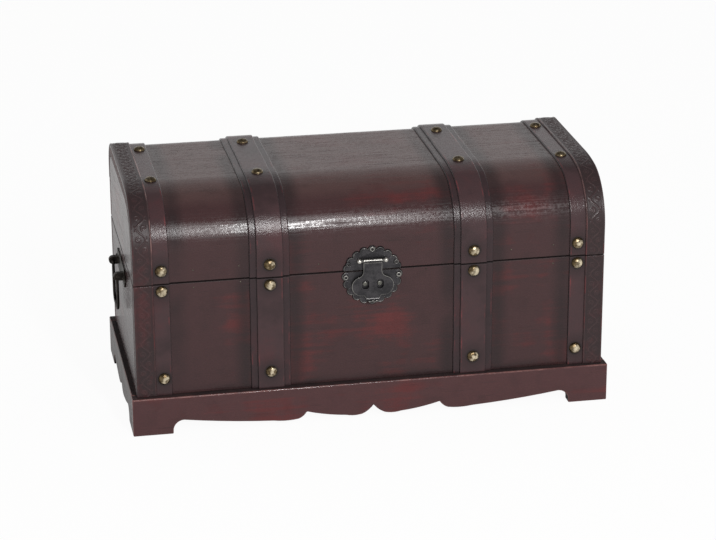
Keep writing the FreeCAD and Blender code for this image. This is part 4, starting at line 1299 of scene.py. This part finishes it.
@dataclass
class Straps(Assembly):
    """The straps, their strips and the embossed trims along the ends."""

    layer: float = 1.4 * MM
    strap: Span = (80.5 * MM, 31.5 * MM)
    strip: Span = (80.5 * MM, 21.0 * MM)
    end_strap: Span = (172.0 * MM, 28.0 * MM)
    trim: Span = (178.25 * MM, 15.5 * MM)
    roll: float = 0.8 * MM
    edge_high: float = 0.35
    end_roll: float = 0.6 * MM
    end_high: float = 0.72
    sunk: float = 0.03 * MM
    waver: float = 0.14 * MM
    wave: float = 0.06
    pitch: float = 2.0 * MM
    station: float = 1.5 * MM
    end_stations: tuple[float, ...] = (0.15 * MM, 0.5 * MM, 0.9 * MM)
    relief_pitch: float = 0.33 * MM
    relief_close: tuple[float, ...] = (0.1, 0.2, 0.5)
    trim_base: float = 0.8
    soot_reach: float = 11.0 * MM
    head: float = 4.8 * MM
    close: tuple[float, ...] = (0.0, 0.06, 0.16, 0.3, 0.5, 0.8, 1.1, 1.5, 2.0, 2.8)

    def build(self) -> Iterable[bpy.types.Object]:
        """Lay the straps on the case and on the lid, left and right.

        Returns:
            The straps, one after another.
        """
        for part in ("case", "lid"):
            for side, sign in (("left", -1), ("right", 1)):
                for kind, layer in (("strap", 0), ("strip", 1), ("end_strap", 0), ("trim", 1)):
                    yield self.run(part, kind, side, sign, layer)

    def run(self, part: str, kind: str, side: str, sign: int, layer: int) -> bpy.types.Object:
        """Lay one strap.

        Args:
            part: The case or the lid.
            kind: Which strap it is.
            side: Left or right.
            sign: Direction of that side.
            layer: Number of straps below it.

        Returns:
            The strap in the place of its node.
        """
        node = "%s_%s_%s" % (part, kind, side)
        middle, width = getattr(self, kind)
        embossed = kind == "trim"
        finish = {"strap": STRAP_UNDER, "trim": TRIM}.get(kind, STRAP)
        scroll = Scroll()
        step = scroll.repeat / scroll.rows * MM if embossed else self.station
        ends = () if embossed else self.end_stations
        route = PROFILE.case(step, ends) if part == "case" else PROFILE.lid(PROFILE.strap_end, step, ends)
        count = len(route.along)
        across = self.samples(width, embossed)
        edge = width / 2 - np.abs(across)
        relief = np.zeros((count, len(across)))
        if embossed:
            relief = scroll.tile(across / MM)[np.arange(count) % scroll.rows]
        heights = self.heights(route, edge, relief, self.trim_base if embossed else 1.0)
        base = layer * self.layer
        upper = route.raised(base + heights)
        lower = route.raised(np.full((count, 2), base - self.sunk))
        loose = kind in ("strap", "strip")
        stray = loose * self.waver * wander(route.along, self.wave, sum(map(ord, node)))
        x_upper = np.broadcast_to(sign * middle + across[None, :] + stray[:, None], heights.shape)
        x_lower = x_upper[:, [-1, 0]]
        rows = np.concatenate([np.dstack([x_upper, upper]), np.dstack([x_lower, lower])], axis=1)
        rim = np.zeros((count, 2))
        edges = np.concatenate([np.repeat(edge[None, :] / MM, count, axis=0), rim], axis=1)
        reliefs = np.concatenate([relief, rim], axis=1)
        draft = Draft()
        draft.skin(rows, edge=edges, relief=reliefs, soot=self.soot(rows, part == "lid"))
        return fitted(draft.piece(node + ".laid", SOFT_CREASE), finish, node)

    def heights(self, route: Route, edge: np.ndarray, relief: np.ndarray, ground: float) -> np.ndarray:
        """Give the heights of a strap over its bed.

        Args:
            route: Line that it follows.
            edge: Distance of each sample across it from the nearer edge.
            relief: Relief at each point.
            ground: Share of the height that lies below the relief.

        Returns:
            Heights, stations along the strap by samples across it.
        """
        fall = np.clip(edge / self.roll, 0, 1)
        top = self.layer * (self.edge_high + (1 - self.edge_high) * np.sqrt(1 - (1 - fall) ** 2))
        gap = np.minimum(route.along, route.along[-1] - route.along)
        ends = self.end_high + (1 - self.end_high) * np.sqrt(np.clip(gap / self.end_roll, 0, 1))
        return top[None, :] * (ground + (1 - ground) * np.clip(relief, 0, 1)) * np.clip(ends, 0, 1)[:, None]

    def samples(self, width: float, embossed: bool) -> np.ndarray:
        """Give the places of the samples across a strap.

        Args:
            width: Width of the strap.
            embossed: Whether the strap has a relief.

        Returns:
            Distances from the middle line, left to right.
        """
        half = width / 2
        if embossed:
            inner = np.linspace(-half, half, int(width / self.relief_pitch) + 1)
            outer = half - np.array(self.relief_close) * MM
            return np.unique(np.concatenate([inner, outer, -outer]))
        outer = half - np.array(self.close) * MM
        inner = np.linspace(-outer[-1], outer[-1], int(2 * outer[-1] / self.pitch) + 1)
        return np.unique(np.concatenate([inner, outer, -outer]).round(7))

    def soot(self, rows: np.ndarray, on_lid: bool) -> np.ndarray:
        """Give the mark for the painted shadow round each nail.

        Args:
            rows: Points of the strap.
            on_lid: Whether the strap lies on the lid.

        Returns:
            Marks from 0 to 1 for the points.
        """
        seats = np.array([tuple(seat) for seat, _ in NAILS.seats(on_lid)])
        gap = np.linalg.norm(rows[:, :, None, :] - seats[None, None, :, :], axis=-1).min(axis=-1)
        return np.clip(1 - (gap - self.head) / self.soot_reach, 0, 1)


@dataclass
class DomeNails(Assembly):
    """Hammered brass heads on the straps."""

    radius: float = 4.65 * MM
    height: float = 2.9 * MM
    skirt: float = 0.35 * MM
    sunk: float = 0.3 * MM
    around: int = 40
    rings: int = 16
    facet_rings: tuple[tuple[float, int], ...] = ((8.0, 1), (36.0, 6), (66.0, 10))
    facet_inset: float = 0.94
    facet_least: float = 0.05
    tilt_stray: float = 7.0
    turn_stray: float = 0.16
    tip: float = 0.03
    hardness: float = 46.0
    dents: Span = (0.3, 1.0)
    # Side towards which each head is painted brighter: a painted highlight over the wear.
    rubbed_from: Spot = (0.62, -0.4, 0.3)
    rub_level: float = 0.62
    rim_fade: float = 3.0
    # Heads that face up get an even painted lightening in place of their sheen, with little of the wear.
    top_rub: float = 0.32
    top_share: float = 0.12
    seed_step: int = 100

    def build(self) -> Iterable[bpy.types.Object]:
        """Set the nails of the case and of the lid.

        Returns:
            The nails of each as one piece.
        """
        for part in ("case", "lid"):
            draft = Draft()
            for seed, (seat, way) in enumerate(NAILS.seats(part == "lid")):
                rows, rub = self.head(seat, way, seed + self.seed_step * len(part))
                draft.skin(rows, rub=rub)
            yield fitted(draft.piece(part + "_nails.hammered", TURNED_CREASE), NAIL_BRASS, part + "_nails")

    def facets(self, rng: np.random.Generator) -> np.ndarray:
        """Give the directions in which the facets of a head look.

        Args:
            rng: Source of their stray.

        Returns:
            The directions, with the head upright.
        """
        normals = []
        for tilt, count in self.facet_rings:
            start = rng.uniform(0, 2 * math.pi)
            for index in range(count):
                lean = math.radians(tilt + rng.uniform(-self.tilt_stray, self.tilt_stray))
                turn = start + 2 * math.pi * index / count + rng.uniform(-self.turn_stray, self.turn_stray)
                flat = math.sin(lean)
                normals.append([flat * math.cos(turn), flat * math.sin(turn), math.cos(lean)])
        return np.array(normals)

    def head(self, seat: Vector, way: Vector, seed: int) -> tuple[np.ndarray, np.ndarray]:
        """Hammer one head.

        Args:
            seat: Point under the head.
            way: Direction in which it stands.
            seed: Number that picks its dents.

        Returns:
            The rings of its points and their marks for wear and painted highlight.
        """
        rng = np.random.default_rng(seed)
        normals = self.facets(rng)
        tilt = np.linspace(math.pi / 2, self.tip, self.rings)[:, None]
        turn = np.linspace(0, 2 * math.pi, self.around, endpoint=False)
        spread = np.sin(tilt)
        parts = np.broadcast_arrays(spread * np.cos(turn), spread * np.sin(turn), np.cos(tilt))
        ways = np.stack(parts, axis=-1)
        facing = np.clip(ways @ normals.T, self.facet_least, None)
        tight = (facing / self.facet_inset) ** self.hardness
        reach = (1 + tight.sum(axis=-1)) ** (-1 / self.hardness)
        shape = ways * reach[..., None] * [self.radius, self.radius, self.height - self.skirt]
        shape[..., 2] += self.skirt
        foot = shape[:1] * [1, 1, 0] - [0, 0, self.sunk]
        shape = np.concatenate([foot, shape])
        dents = rng.uniform(*self.dents, len(normals))[facing.argmax(axis=-1)]
        # Painted highlight: brighter on the heads' right and lower side, on top of the worn dents.
        lean = np.clip(self.rub_level + ways @ np.array(self.rubbed_from), 0, 1)
        worn = dents * lean * np.clip(self.rim_fade * np.cos(tilt), 0, 1)
        rub = np.concatenate([np.zeros((1, self.around)), worn])
        # Upward heads: an even painted lightening stands in for their reflected light.
        if way.z > UPRIGHT:
            rub = self.top_rub + self.top_share * rub
        first = Vector((1, 0, 0))
        basis = np.array([first, way.cross(first), way])
        return np.array(seat) + shape @ basis, rub


@dataclass(frozen=True)
class Turning:
    """A small turned shape: radii and heights in millimetres and wear, from its foot to its middle."""

    radii: tuple[float, ...]
    heights: tuple[float, ...]
    rubs: tuple[float, ...]
    around: int = 28

    def put(self, draft: Draft, seat: Vector, way: Vector, worn: float = 1.0) -> None:
        """Turn the shape on a seat, as part of a draft.

        Args:
            draft: Draft that takes it.
            seat: Point under the shape.
            way: Direction in which it stands.
            worn: Share of its wear.
        """
        turn = np.linspace(0, 2 * math.pi, self.around, endpoint=False)
        first = way.orthogonal().normalized()
        second = way.cross(first)
        ring = np.cos(turn)[:, None] * np.array(first) + np.sin(turn)[:, None] * np.array(second)
        rows = [np.array(seat) + radius * MM * ring + height * MM * np.array(way)
                for radius, height in zip(self.radii, self.heights)]
        draft.skin(np.array(rows), rub=np.array(self.rubs)[:, None] * worn)


EYELET = Turning(
    radii=(1.9, 2.1, 2.1, 1.85, 1.5, 1.15, 0.95, 0.85, 0.8, 0.3),
    heights=(-0.4, -0.2, 0.55, 0.95, 1.12, 1.0, 0.7, 0.25, 0.1, 0.08),
    rubs=(0.0, 0.0, 0.1, 0.8, 1.0, 0.9, 0.4, 0.0, 0.0, 0.0))
BRAD = Turning(
    radii=(0.55, 0.62, 0.58, 0.4, 0.15),
    heights=(-0.2, 0.02, 0.12, 0.18, 0.2),
    rubs=(0.0, 0.1, 0.4, 0.6, 0.6),
    around=14)


@dataclass
class Hasp(Assembly):
    """The parted flower plate, its eyelet pins, the tongue on its eared pin and the posts."""

    wall: float = FRONT
    centre: float = 118.4 * MM
    upper_low: float = 123.3 * MM
    lower_high: float = 121.9 * MM
    petals: int = 20
    petal: float = 3.6 * MM
    ring: float = 20.6 * MM
    bead: float = 18.2 * MM
    bead_half: float = 0.6 * MM
    bead_high: float = 0.15 * MM
    sheet: float = 1.05 * MM
    rim: float = 0.95 * MM
    rim_half: float = 0.36 * MM
    rim_high: float = 0.42 * MM
    rim_rub: float = 0.78
    rim_fall: float = 1.5
    round: float = 0.5 * MM
    flute: float = 0.3 * MM
    flute_half: float = 0.5 * MM
    cut_rub: float = 0.75
    around: int = 400
    hub: float = 0.02
    band: float = 5.0 * MM
    inner_rings: int = 17
    band_rings: int = 26
    round_rings: int = 5
    face: float = -86.7 * MM
    axis_depth: float = -88.7 * MM
    axis_height: float = 131.1 * MM
    ear_start: float = 7.65 * MM
    ear_width: float = 1.2 * MM
    ear_round: float = 1.7 * MM
    ear_root: float = 0.4 * MM
    ear_edge: float = 0.2 * MM
    ear_points: int = 14
    ear_rub: float = 0.5
    pin_seat: float = -86.5 * MM
    upper_pins: tuple[Spot, ...] = ((0.0, 139.9, 1.0), (-19.1, 128.4, 0.5), (19.1, 128.4, 0.6))
    lower_pins: tuple[Spot, ...] = ((-20.9, 117.8, 0.9), (20.9, 117.8, 1.0))
    edge: float = 0.55 * MM
    edge_line: float = 0.5 * MM
    knuckle: float = 2.7 * MM
    knuckle_off: float = 0.3 * MM
    lip: Span = (104.5 * MM, 101.0 * MM)
    lip_matt: float = 0.4
    hole: Span = (5.8 * MM, 111.8 * MM)
    hole_rim: float = 5.2 * MM
    hole_rub: float = 0.1
    ball: float = 1.95 * MM
    ball_tip: float = 0.1
    ball_points: int = 12
    ball_rub: float = 0.5
    rod: float = 0.85 * MM

    def build(self) -> Iterable[bpy.types.Object]:
        """Make the plates, the eyelet pins and the turned pin, and ease the tongue and the posts.

        Returns:
            The pieces, one after another.
        """
        yield self.plate("hasp_upper_plate", self.upper_low, True)
        yield self.plate("hasp_lower_plate", self.lower_high, False)
        yield self.pins("hasp_upper_pins", self.upper_pins)
        yield self.pins("hasp_lower_pins", self.lower_pins)
        yield eased("hasp_tongue", HASP_BRONZE, self.edge, rubbed=self.handled, line=self.edge_line)
        yield self.pin()
        yield eased("hasp_posts", HASP_POST_BRONZE, self.edge)

    def pin(self) -> bpy.types.Object:
        """Turn the pin with its ball ends.

        Returns:
            The pin in the place of its node.
        """
        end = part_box("hasp_pin")[1].x
        turn = np.linspace(self.ball_tip, math.pi - math.asin(self.rod / self.ball), self.ball_points)
        radii = self.ball * np.sin(turn) / MM
        places = (end - self.ball * (1 - np.cos(turn))) / MM
        rubs = (self.ball_rub,) * (2 * self.ball_points)
        draft = Draft()
        Turning((*radii, *radii[::-1]), (*places, *-places[::-1]), rubs).put(
            draft, Vector((0, self.axis_depth, self.axis_height)), Vector((1, 0, 0)))
        return fitted(draft.piece("hasp_pin.turned"), HASP_PIN_BRONZE, "hasp_pin")

    def handled(self, point: Vector, edge: float) -> float:
        """Give the wear of the tongue at a point, with a painted highlight on its knuckle.

        Args:
            point: The point.
            edge: Wear of the edge there.

        Returns:
            A full painted highlight on the front top of the knuckle, little wear round the holes, less than
            none on the matt lip and the edge's own wear elsewhere.
        """
        hole = math.hypot(abs(point.x) - self.hole[0], point.z - self.hole[1])
        off = math.hypot(point.y - self.axis_depth, point.z - self.axis_height)
        # The front top of the knuckle takes a painted highlight, not wear.
        ahead = point.y < self.axis_depth - self.knuckle_off
        above = point.z > self.axis_height + self.knuckle_off
        turned = off < self.knuckle and ahead and above
        start, full = self.lip
        lip = min(max((start - point.z) / (start - full), 0.0), 1.0)
        worn = max(float(turned), edge if hole > self.hole_rim else self.hole_rub * edge)
        return worn - self.lip_matt * lip * (1.0 - edge)

    def outline(self, turn: np.ndarray) -> np.ndarray:
        """Give the reach of the petals.

        Args:
            turn: Angles about the centre.

        Returns:
            Distance of the outline from the centre at each angle.
        """
        pitch = 2 * math.pi / self.petals
        off = (turn + pitch / 2) % pitch - pitch / 2
        return self.ring * np.cos(off) + np.sqrt(self.petal ** 2 - (self.ring * np.sin(off)) ** 2)

    def relief(self, turn: np.ndarray, reach: np.ndarray,
               radii: np.ndarray) -> tuple[np.ndarray, np.ndarray]:
        """Give the face of the flower.

        Args:
            turn: Angles about the centre.
            reach: Reach of the petals at each angle.
            radii: Distances of the points from the centre, rings by angles.

        Returns:
            Heights of the points and their marks for wear.
        """
        pitch = 2 * math.pi / self.petals
        off = np.abs(turn % pitch - pitch / 2)
        gap = reach - radii
        rim = np.exp(-((gap - self.rim) / self.rim_half) ** 2)
        bead = np.exp(-((radii - self.bead) / self.bead_half) ** 2)
        flute = np.exp(-((off * radii) / self.flute_half) ** 2) * (radii > self.bead + self.bead_half)
        rise = self.rim_high * rim + self.bead_high * bead - self.flute * flute
        fall = np.clip(gap / self.round, 0, 1)
        return (self.sheet + rise) * np.sqrt(1 - (1 - fall) ** 2), self.rim_rub * rim ** self.rim_fall

    def pressed(self, name: str) -> bpy.types.Object:
        """Press the whole flower.

        Args:
            name: Name of the object.

        Returns:
            The flower, not yet parted.
        """
        turn = np.linspace(0, 2 * math.pi, self.around, endpoint=False)
        reach = self.outline(turn)
        shares = np.linspace(self.hub, 1, self.inner_rings + 1)[:-1]
        bow = np.linspace(0, math.pi / 2, self.round_rings + 1)[1:]
        gaps = [*np.linspace(self.band, self.round, self.band_rings), *(self.round * (1 - np.sin(bow)))]
        face = np.array([share * (reach - self.band) for share in shares] + [reach - gap for gap in gaps])
        back = np.zeros((2, self.around))
        heights, rubs = (np.concatenate([part, back]) for part in self.relief(turn, reach, face))
        radii = np.concatenate([face, [reach, self.hub * reach]])
        rows = np.dstack([radii * np.cos(turn), self.wall - heights, self.centre + radii * np.sin(turn)])
        draft = Draft()
        draft.skin(rows, rub=rubs)
        return draft.piece(name, SOFT_CREASE)

    def plate(self, node: str, cut: float, upper: bool) -> bpy.types.Object:
        """Press one half of the flower plate.

        Args:
            node: Node that it stands for.
            cut: Height of its straight edge.
            upper: Whether it is the half above the seam, which carries the ears.

        Returns:
            The half plate in the place of its node.
        """
        made = self.pressed(node + ".pressed")
        work = bmesh.new()
        work.from_mesh(made.data)
        parts = list(work.verts) + list(work.edges) + list(work.faces)
        sliced = bmesh.ops.bisect_plane(work, geom=parts, plane_co=(0, 0, cut), plane_no=(0, 0, 1),
                                        clear_inner=upper, clear_outer=not upper)
        lines = [part for part in sliced["geom_cut"] if isinstance(part, bmesh.types.BMEdge)]
        rub = work.verts.layers.float["rub"]
        for part in sliced["geom_cut"]:
            if isinstance(part, bmesh.types.BMVert):
                part[rub] = self.cut_rub
        bmesh.ops.holes_fill(work, edges=lines)
        bmesh.ops.recalc_face_normals(work, faces=work.faces)
        if upper:
            self.add_ears(work)
        smoothed(work, made.data, SOFT_CREASE)
        return fitted(made, HASP_BRONZE, node)

    def add_ears(self, work: bmesh.types.BMesh) -> None:
        """Add the two ears that hold the pin.

        Args:
            work: Worked mesh of the upper plate, which takes them.
        """
        turn = np.linspace(-math.pi / 2, math.pi / 2, self.ear_points)
        tip = np.stack([self.axis_depth - self.ear_round * np.cos(turn),
                        self.axis_height + self.ear_round * np.sin(turn)], axis=1)
        root = self.face + self.ear_root
        foot = np.array([[root, self.axis_height + self.ear_round],
                         [root, self.axis_height - self.ear_round]])
        ring = np.concatenate([tip, foot])
        middle = ring.mean(axis=0)
        spread = np.linalg.norm(ring - middle, axis=1, keepdims=True)
        steps = ((0.0, self.ear_edge), (self.ear_edge, 0.0),
                 (self.ear_width - self.ear_edge, 0.0), (self.ear_width, self.ear_edge))
        for side in (-1, 1):
            rows = []
            for place, inset in steps:
                shrunk = middle + (ring - middle) * (1 - inset / spread)
                rows.append(np.column_stack([np.full(len(ring), side * (self.ear_start + place)), shrunk]))
            draft = Draft()
            draft.skin(np.array(rows), rub=np.full(len(ring), self.ear_rub))
            ear = draft.piece("ear")
            work.from_mesh(ear.data)
            bpy.data.objects.remove(ear)

    def pins(self, node: str, spots: tuple[Spot, ...]) -> bpy.types.Object:
        """Turn the eyelet pins of one half.

        Args:
            node: Node that they stand for.
            spots: Places across and up in millimetres, and how worn each pin is.

        Returns:
            The pins as one piece in the place of their node.
        """
        draft = Draft()
        for across, up, worn in spots:
            EYELET.put(draft, Vector((across * MM, self.pin_seat, up * MM)), Vector((0, -1, 0)), worn)
        return fitted(draft.piece(node + ".turned", TURNED_CREASE), HASP_BRONZE, node)


@dataclass
class Handles(Assembly):
    """The drop handles on the ends."""

    edge: float = 0.35 * MM

    def build(self) -> Iterable[bpy.types.Object]:
        """Ease the plates, pins and bails.

        Returns:
            The pieces, one after another.
        """
        for side in ("left", "right"):
            for part in ("plate", "pins", "bail"):
                yield eased("handle_%s_%s" % (part, side), HANDLE_BRONZE, self.edge)


@dataclass
class Hinges(Assembly):
    """The two hinges at the back."""

    edge: float = 0.25 * MM

    def build(self) -> Iterable[bpy.types.Object]:
        """Ease the leaves, the pins and the screws.

        Returns:
            The pieces, one after another.
        """
        for side in ("left", "right"):
            yield eased("hinge_pin_" + side, HINGE_BRASS, self.edge)
            for part in ("case", "lid"):
                yield eased("hinge_leaf_%s_%s" % (part, side), HINGE_BRASS, self.edge)
                yield eased("hinge_screws_%s_%s" % (part, side), HINGE_BRASS, self.edge)


@dataclass
class Brads(Assembly):
    """Tiny nails beside the seam, with their places across and up in millimetres."""

    lid: tuple[Span, ...] = (
        (-139.5, 132.2), (-104.0, 133.2), (-42.0, 130.2), (111.0, 131.2), (145.0, 132.7))
    case: tuple[Span, ...] = ((-139.5, 118.2), (-103.0, 120.2), (43.0, 120.2), (145.0, 117.2))

    def build(self) -> Iterable[bpy.types.Object]:
        """Drive the brads of the lid and of the case.

        Returns:
            The brads of each as one piece.
        """
        for body, spots in (("lid", self.lid), ("chest", self.case)):
            draft = Draft()
            for across, up in spots:
                BRAD.put(draft, Vector((across * MM, PROFILE.front, up * MM)), Vector((0, -1, 0)))
            made = draft.piece(body + "_brads", TURNED_CREASE)
            made.data.materials.append(HANDLE_BRONZE.material())
            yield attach(made, body)


@dataclass
class Studio:
    """White floor and world with soft light."""

    floor_half: float = 8.0
    veil: float = 0.95
    mirrored_veil: float = 0.6
    mirrored_shadow_dim: float = 0.4
    beside: Climb = (-0.27, -0.2)
    chest_end: Climb = (-0.19, -0.18)
    floor_tone: Colour = tone(244, 243, 241)
    white: Colour = (1.0, 1.0, 1.0)
    ambient: float = 0.46
    ceiling: float = 0.18
    overhead: Climb = (0.1, 0.7)
    key_place: Spot = (0.255, -1.9, 1.2)
    glow_place: Spot = (0.255, -1.95, 1.4)
    key_aim: Spot = (0.0, -0.08, 0.15)
    key_size: Span = (0.12, 0.6)
    key_watts: float = 20.0
    glow_size: Span = (0.4, 1.1)
    glow_watts: float = 11.0

    def build(self) -> None:
        """Lay the floor, light the world and hang the lamps."""
        self.lay_floor()
        self.light_world()
        self.hang("key_box", self.key_place, self.key_aim, self.key_size, self.key_watts)
        self.hang("glow_box", self.glow_place, self.key_aim, self.glow_size, self.glow_watts)

    @staticmethod
    def rays(sheet: NodeSheet) -> tuple[Wire, Wire]:
        """Tell the kinds of rays apart.

        Args:
            sheet: Sheet that takes the nodes.

        Returns:
            1 for rays that show the background, and 1 for rays that mirror it.
        """
        path = sheet.add("ShaderNodeLightPath").outputs
        kinds = ("Camera", "Glossy", "Transmission")
        shown, mirrored, through = (Wire(sheet, path["Is %s Ray" % kind]) for kind in kinds)
        return shown.most(through), mirrored

    def lay_floor(self) -> None:
        """Lay a white floor that keeps the shadow of the chest, with a painted shadow beside its left end
        in mirrored rays.
        """
        half = self.floor_half
        mesh = bpy.data.meshes.new("studio_floor")
        corners = [(-half, -half, 0), (half, -half, 0), (half, half, 0), (-half, half, 0)]
        mesh.from_pydata(corners, [], [(0, 1, 2, 3)])
        material = bpy.data.materials.new("studio_paper")
        material.use_nodes = True
        sheet = NodeSheet(material.node_tree)
        paper = sheet.node("ShaderNodeBsdfDiffuse", sockets={"Color": self.floor_tone})
        shown, mirrored = self.rays(sheet)
        wide = sheet.split(sheet.place())[0]
        # Painted shadow: mirrored rays see the floor dimmed in a strip beside the chest's left end.
        beside = wide.rise(*self.beside) * wide.fall(*self.chest_end)
        shadowed_white = (1.0 - self.mirrored_shadow_dim,) * 3
        white = sheet.node("ShaderNodeEmission", sockets={
            "Color": sheet.blend(mirrored * beside, self.white, shadowed_white)})
        veil = (shown * self.veil).most(mirrored * self.mirrored_veil)
        mixed = sheet.node("ShaderNodeMixShader", sockets={0: veil, 1: paper, 2: white})
        sheet.add("ShaderNodeOutputMaterial", sockets={"Surface": mixed})
        mesh.materials.append(material)
        floor = bpy.data.objects.new("studio_floor", mesh)
        bpy.context.scene.collection.objects.link(floor)
        floor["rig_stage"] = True

    def light_world(self) -> None:
        """Give an even world that shows white round about and dim overhead."""
        world = bpy.data.worlds.new("studio_world")
        world.use_nodes = True
        sheet = NodeSheet(world.node_tree)
        up = sheet.split(sheet.node("ShaderNodeTexCoord", output="Generated"))[2]
        shown, mirrored = self.rays(sheet)
        bright = 1.0 - up.rise(*self.overhead, 1 - self.ceiling)
        strength = self.ambient + shown.most(mirrored) * (bright - self.ambient)
        light = sheet.node("ShaderNodeBackground", sockets={"Color": self.white, "Strength": strength})
        sheet.add("ShaderNodeOutputWorld", sockets={"Surface": light})
        bpy.context.scene.world = world

    @staticmethod
    def hang(name: str, place: Spot, aim: Spot, size: Span, watts: float) -> None:
        """Hang a soft box.

        Args:
            name: Name of the lamp.
            place: Where it hangs.
            aim: Point that it faces.
            size: Its width and height.
            watts: Its power.
        """
        lamp = bpy.data.lights.new(name, "AREA")
        lamp.shape = "RECTANGLE"
        lamp.size, lamp.size_y = size
        lamp.energy = watts
        box = bpy.data.objects.new(name, lamp)
        box.location = place
        box.rotation_euler = (Vector(aim) - Vector(place)).to_track_quat("-Z", "Y").to_euler()
        bpy.context.scene.collection.objects.link(box)


@dataclass
class Viewpoint:
    """The camera of the photograph."""

    focal_pixels: float = 2523.0
    image_width: float = 716.0
    sensor: float = 36.0
    turn: float = math.radians(10.57)
    lift: float = math.radians(20.21)
    roll: float = math.radians(-0.28)
    distance: float = 2.046
    target: Spot = (0.0, 0.0, 0.0922)
    shift: Span = (0.0087, -0.0014)

    def build(self) -> None:
        """Set up the camera."""
        level = math.cos(self.lift)
        forward = Vector((math.sin(self.turn) * level, math.cos(self.turn) * level, -math.sin(self.lift)))
        right = Vector((math.cos(self.turn), -math.sin(self.turn), 0))
        up = right.cross(forward)
        across = right * math.cos(self.roll) + up * math.sin(self.roll)
        upright = up * math.cos(self.roll) - right * math.sin(self.roll)
        lens = bpy.data.cameras.new("photo_camera")
        lens.sensor_width = self.sensor
        lens.lens = self.focal_pixels / self.image_width * self.sensor
        lens.shift_x, lens.shift_y = self.shift
        camera = bpy.data.objects.new("photo_camera", lens)
        spin = Matrix((across, upright, -forward)).transposed().to_4x4()
        camera.matrix_world = Matrix.Translation(Vector(self.target) - forward * self.distance) @ spin
        bpy.context.scene.collection.objects.link(camera)
        bpy.context.scene.camera = camera


def note_sizes() -> None:
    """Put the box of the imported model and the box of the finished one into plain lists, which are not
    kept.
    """
    boxes = {"cad": cad_box, "visual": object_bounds()}
    plain = {name: [[float(part) for part in corner] for corner in box] for name, box in boxes.items()}


def main() -> None:
    """Build the chest, the studio and the camera."""
    logging.basicConfig(level=logging.INFO, format="%(message)s")
    bpy.context.scene.view_settings.view_transform = "Standard"
    Viewpoint().build()
    Studio().build()
    for assembly in (Plinth(), Case(), Lid(), Straps(), DomeNails(), Hasp(), Handles(), Hinges(), Brads()):
        for made in assembly.build():
            LOG.info("%s: %s", type(assembly).__name__, made.name)
    note_sizes()


if __name__ == "__main__":
    main()
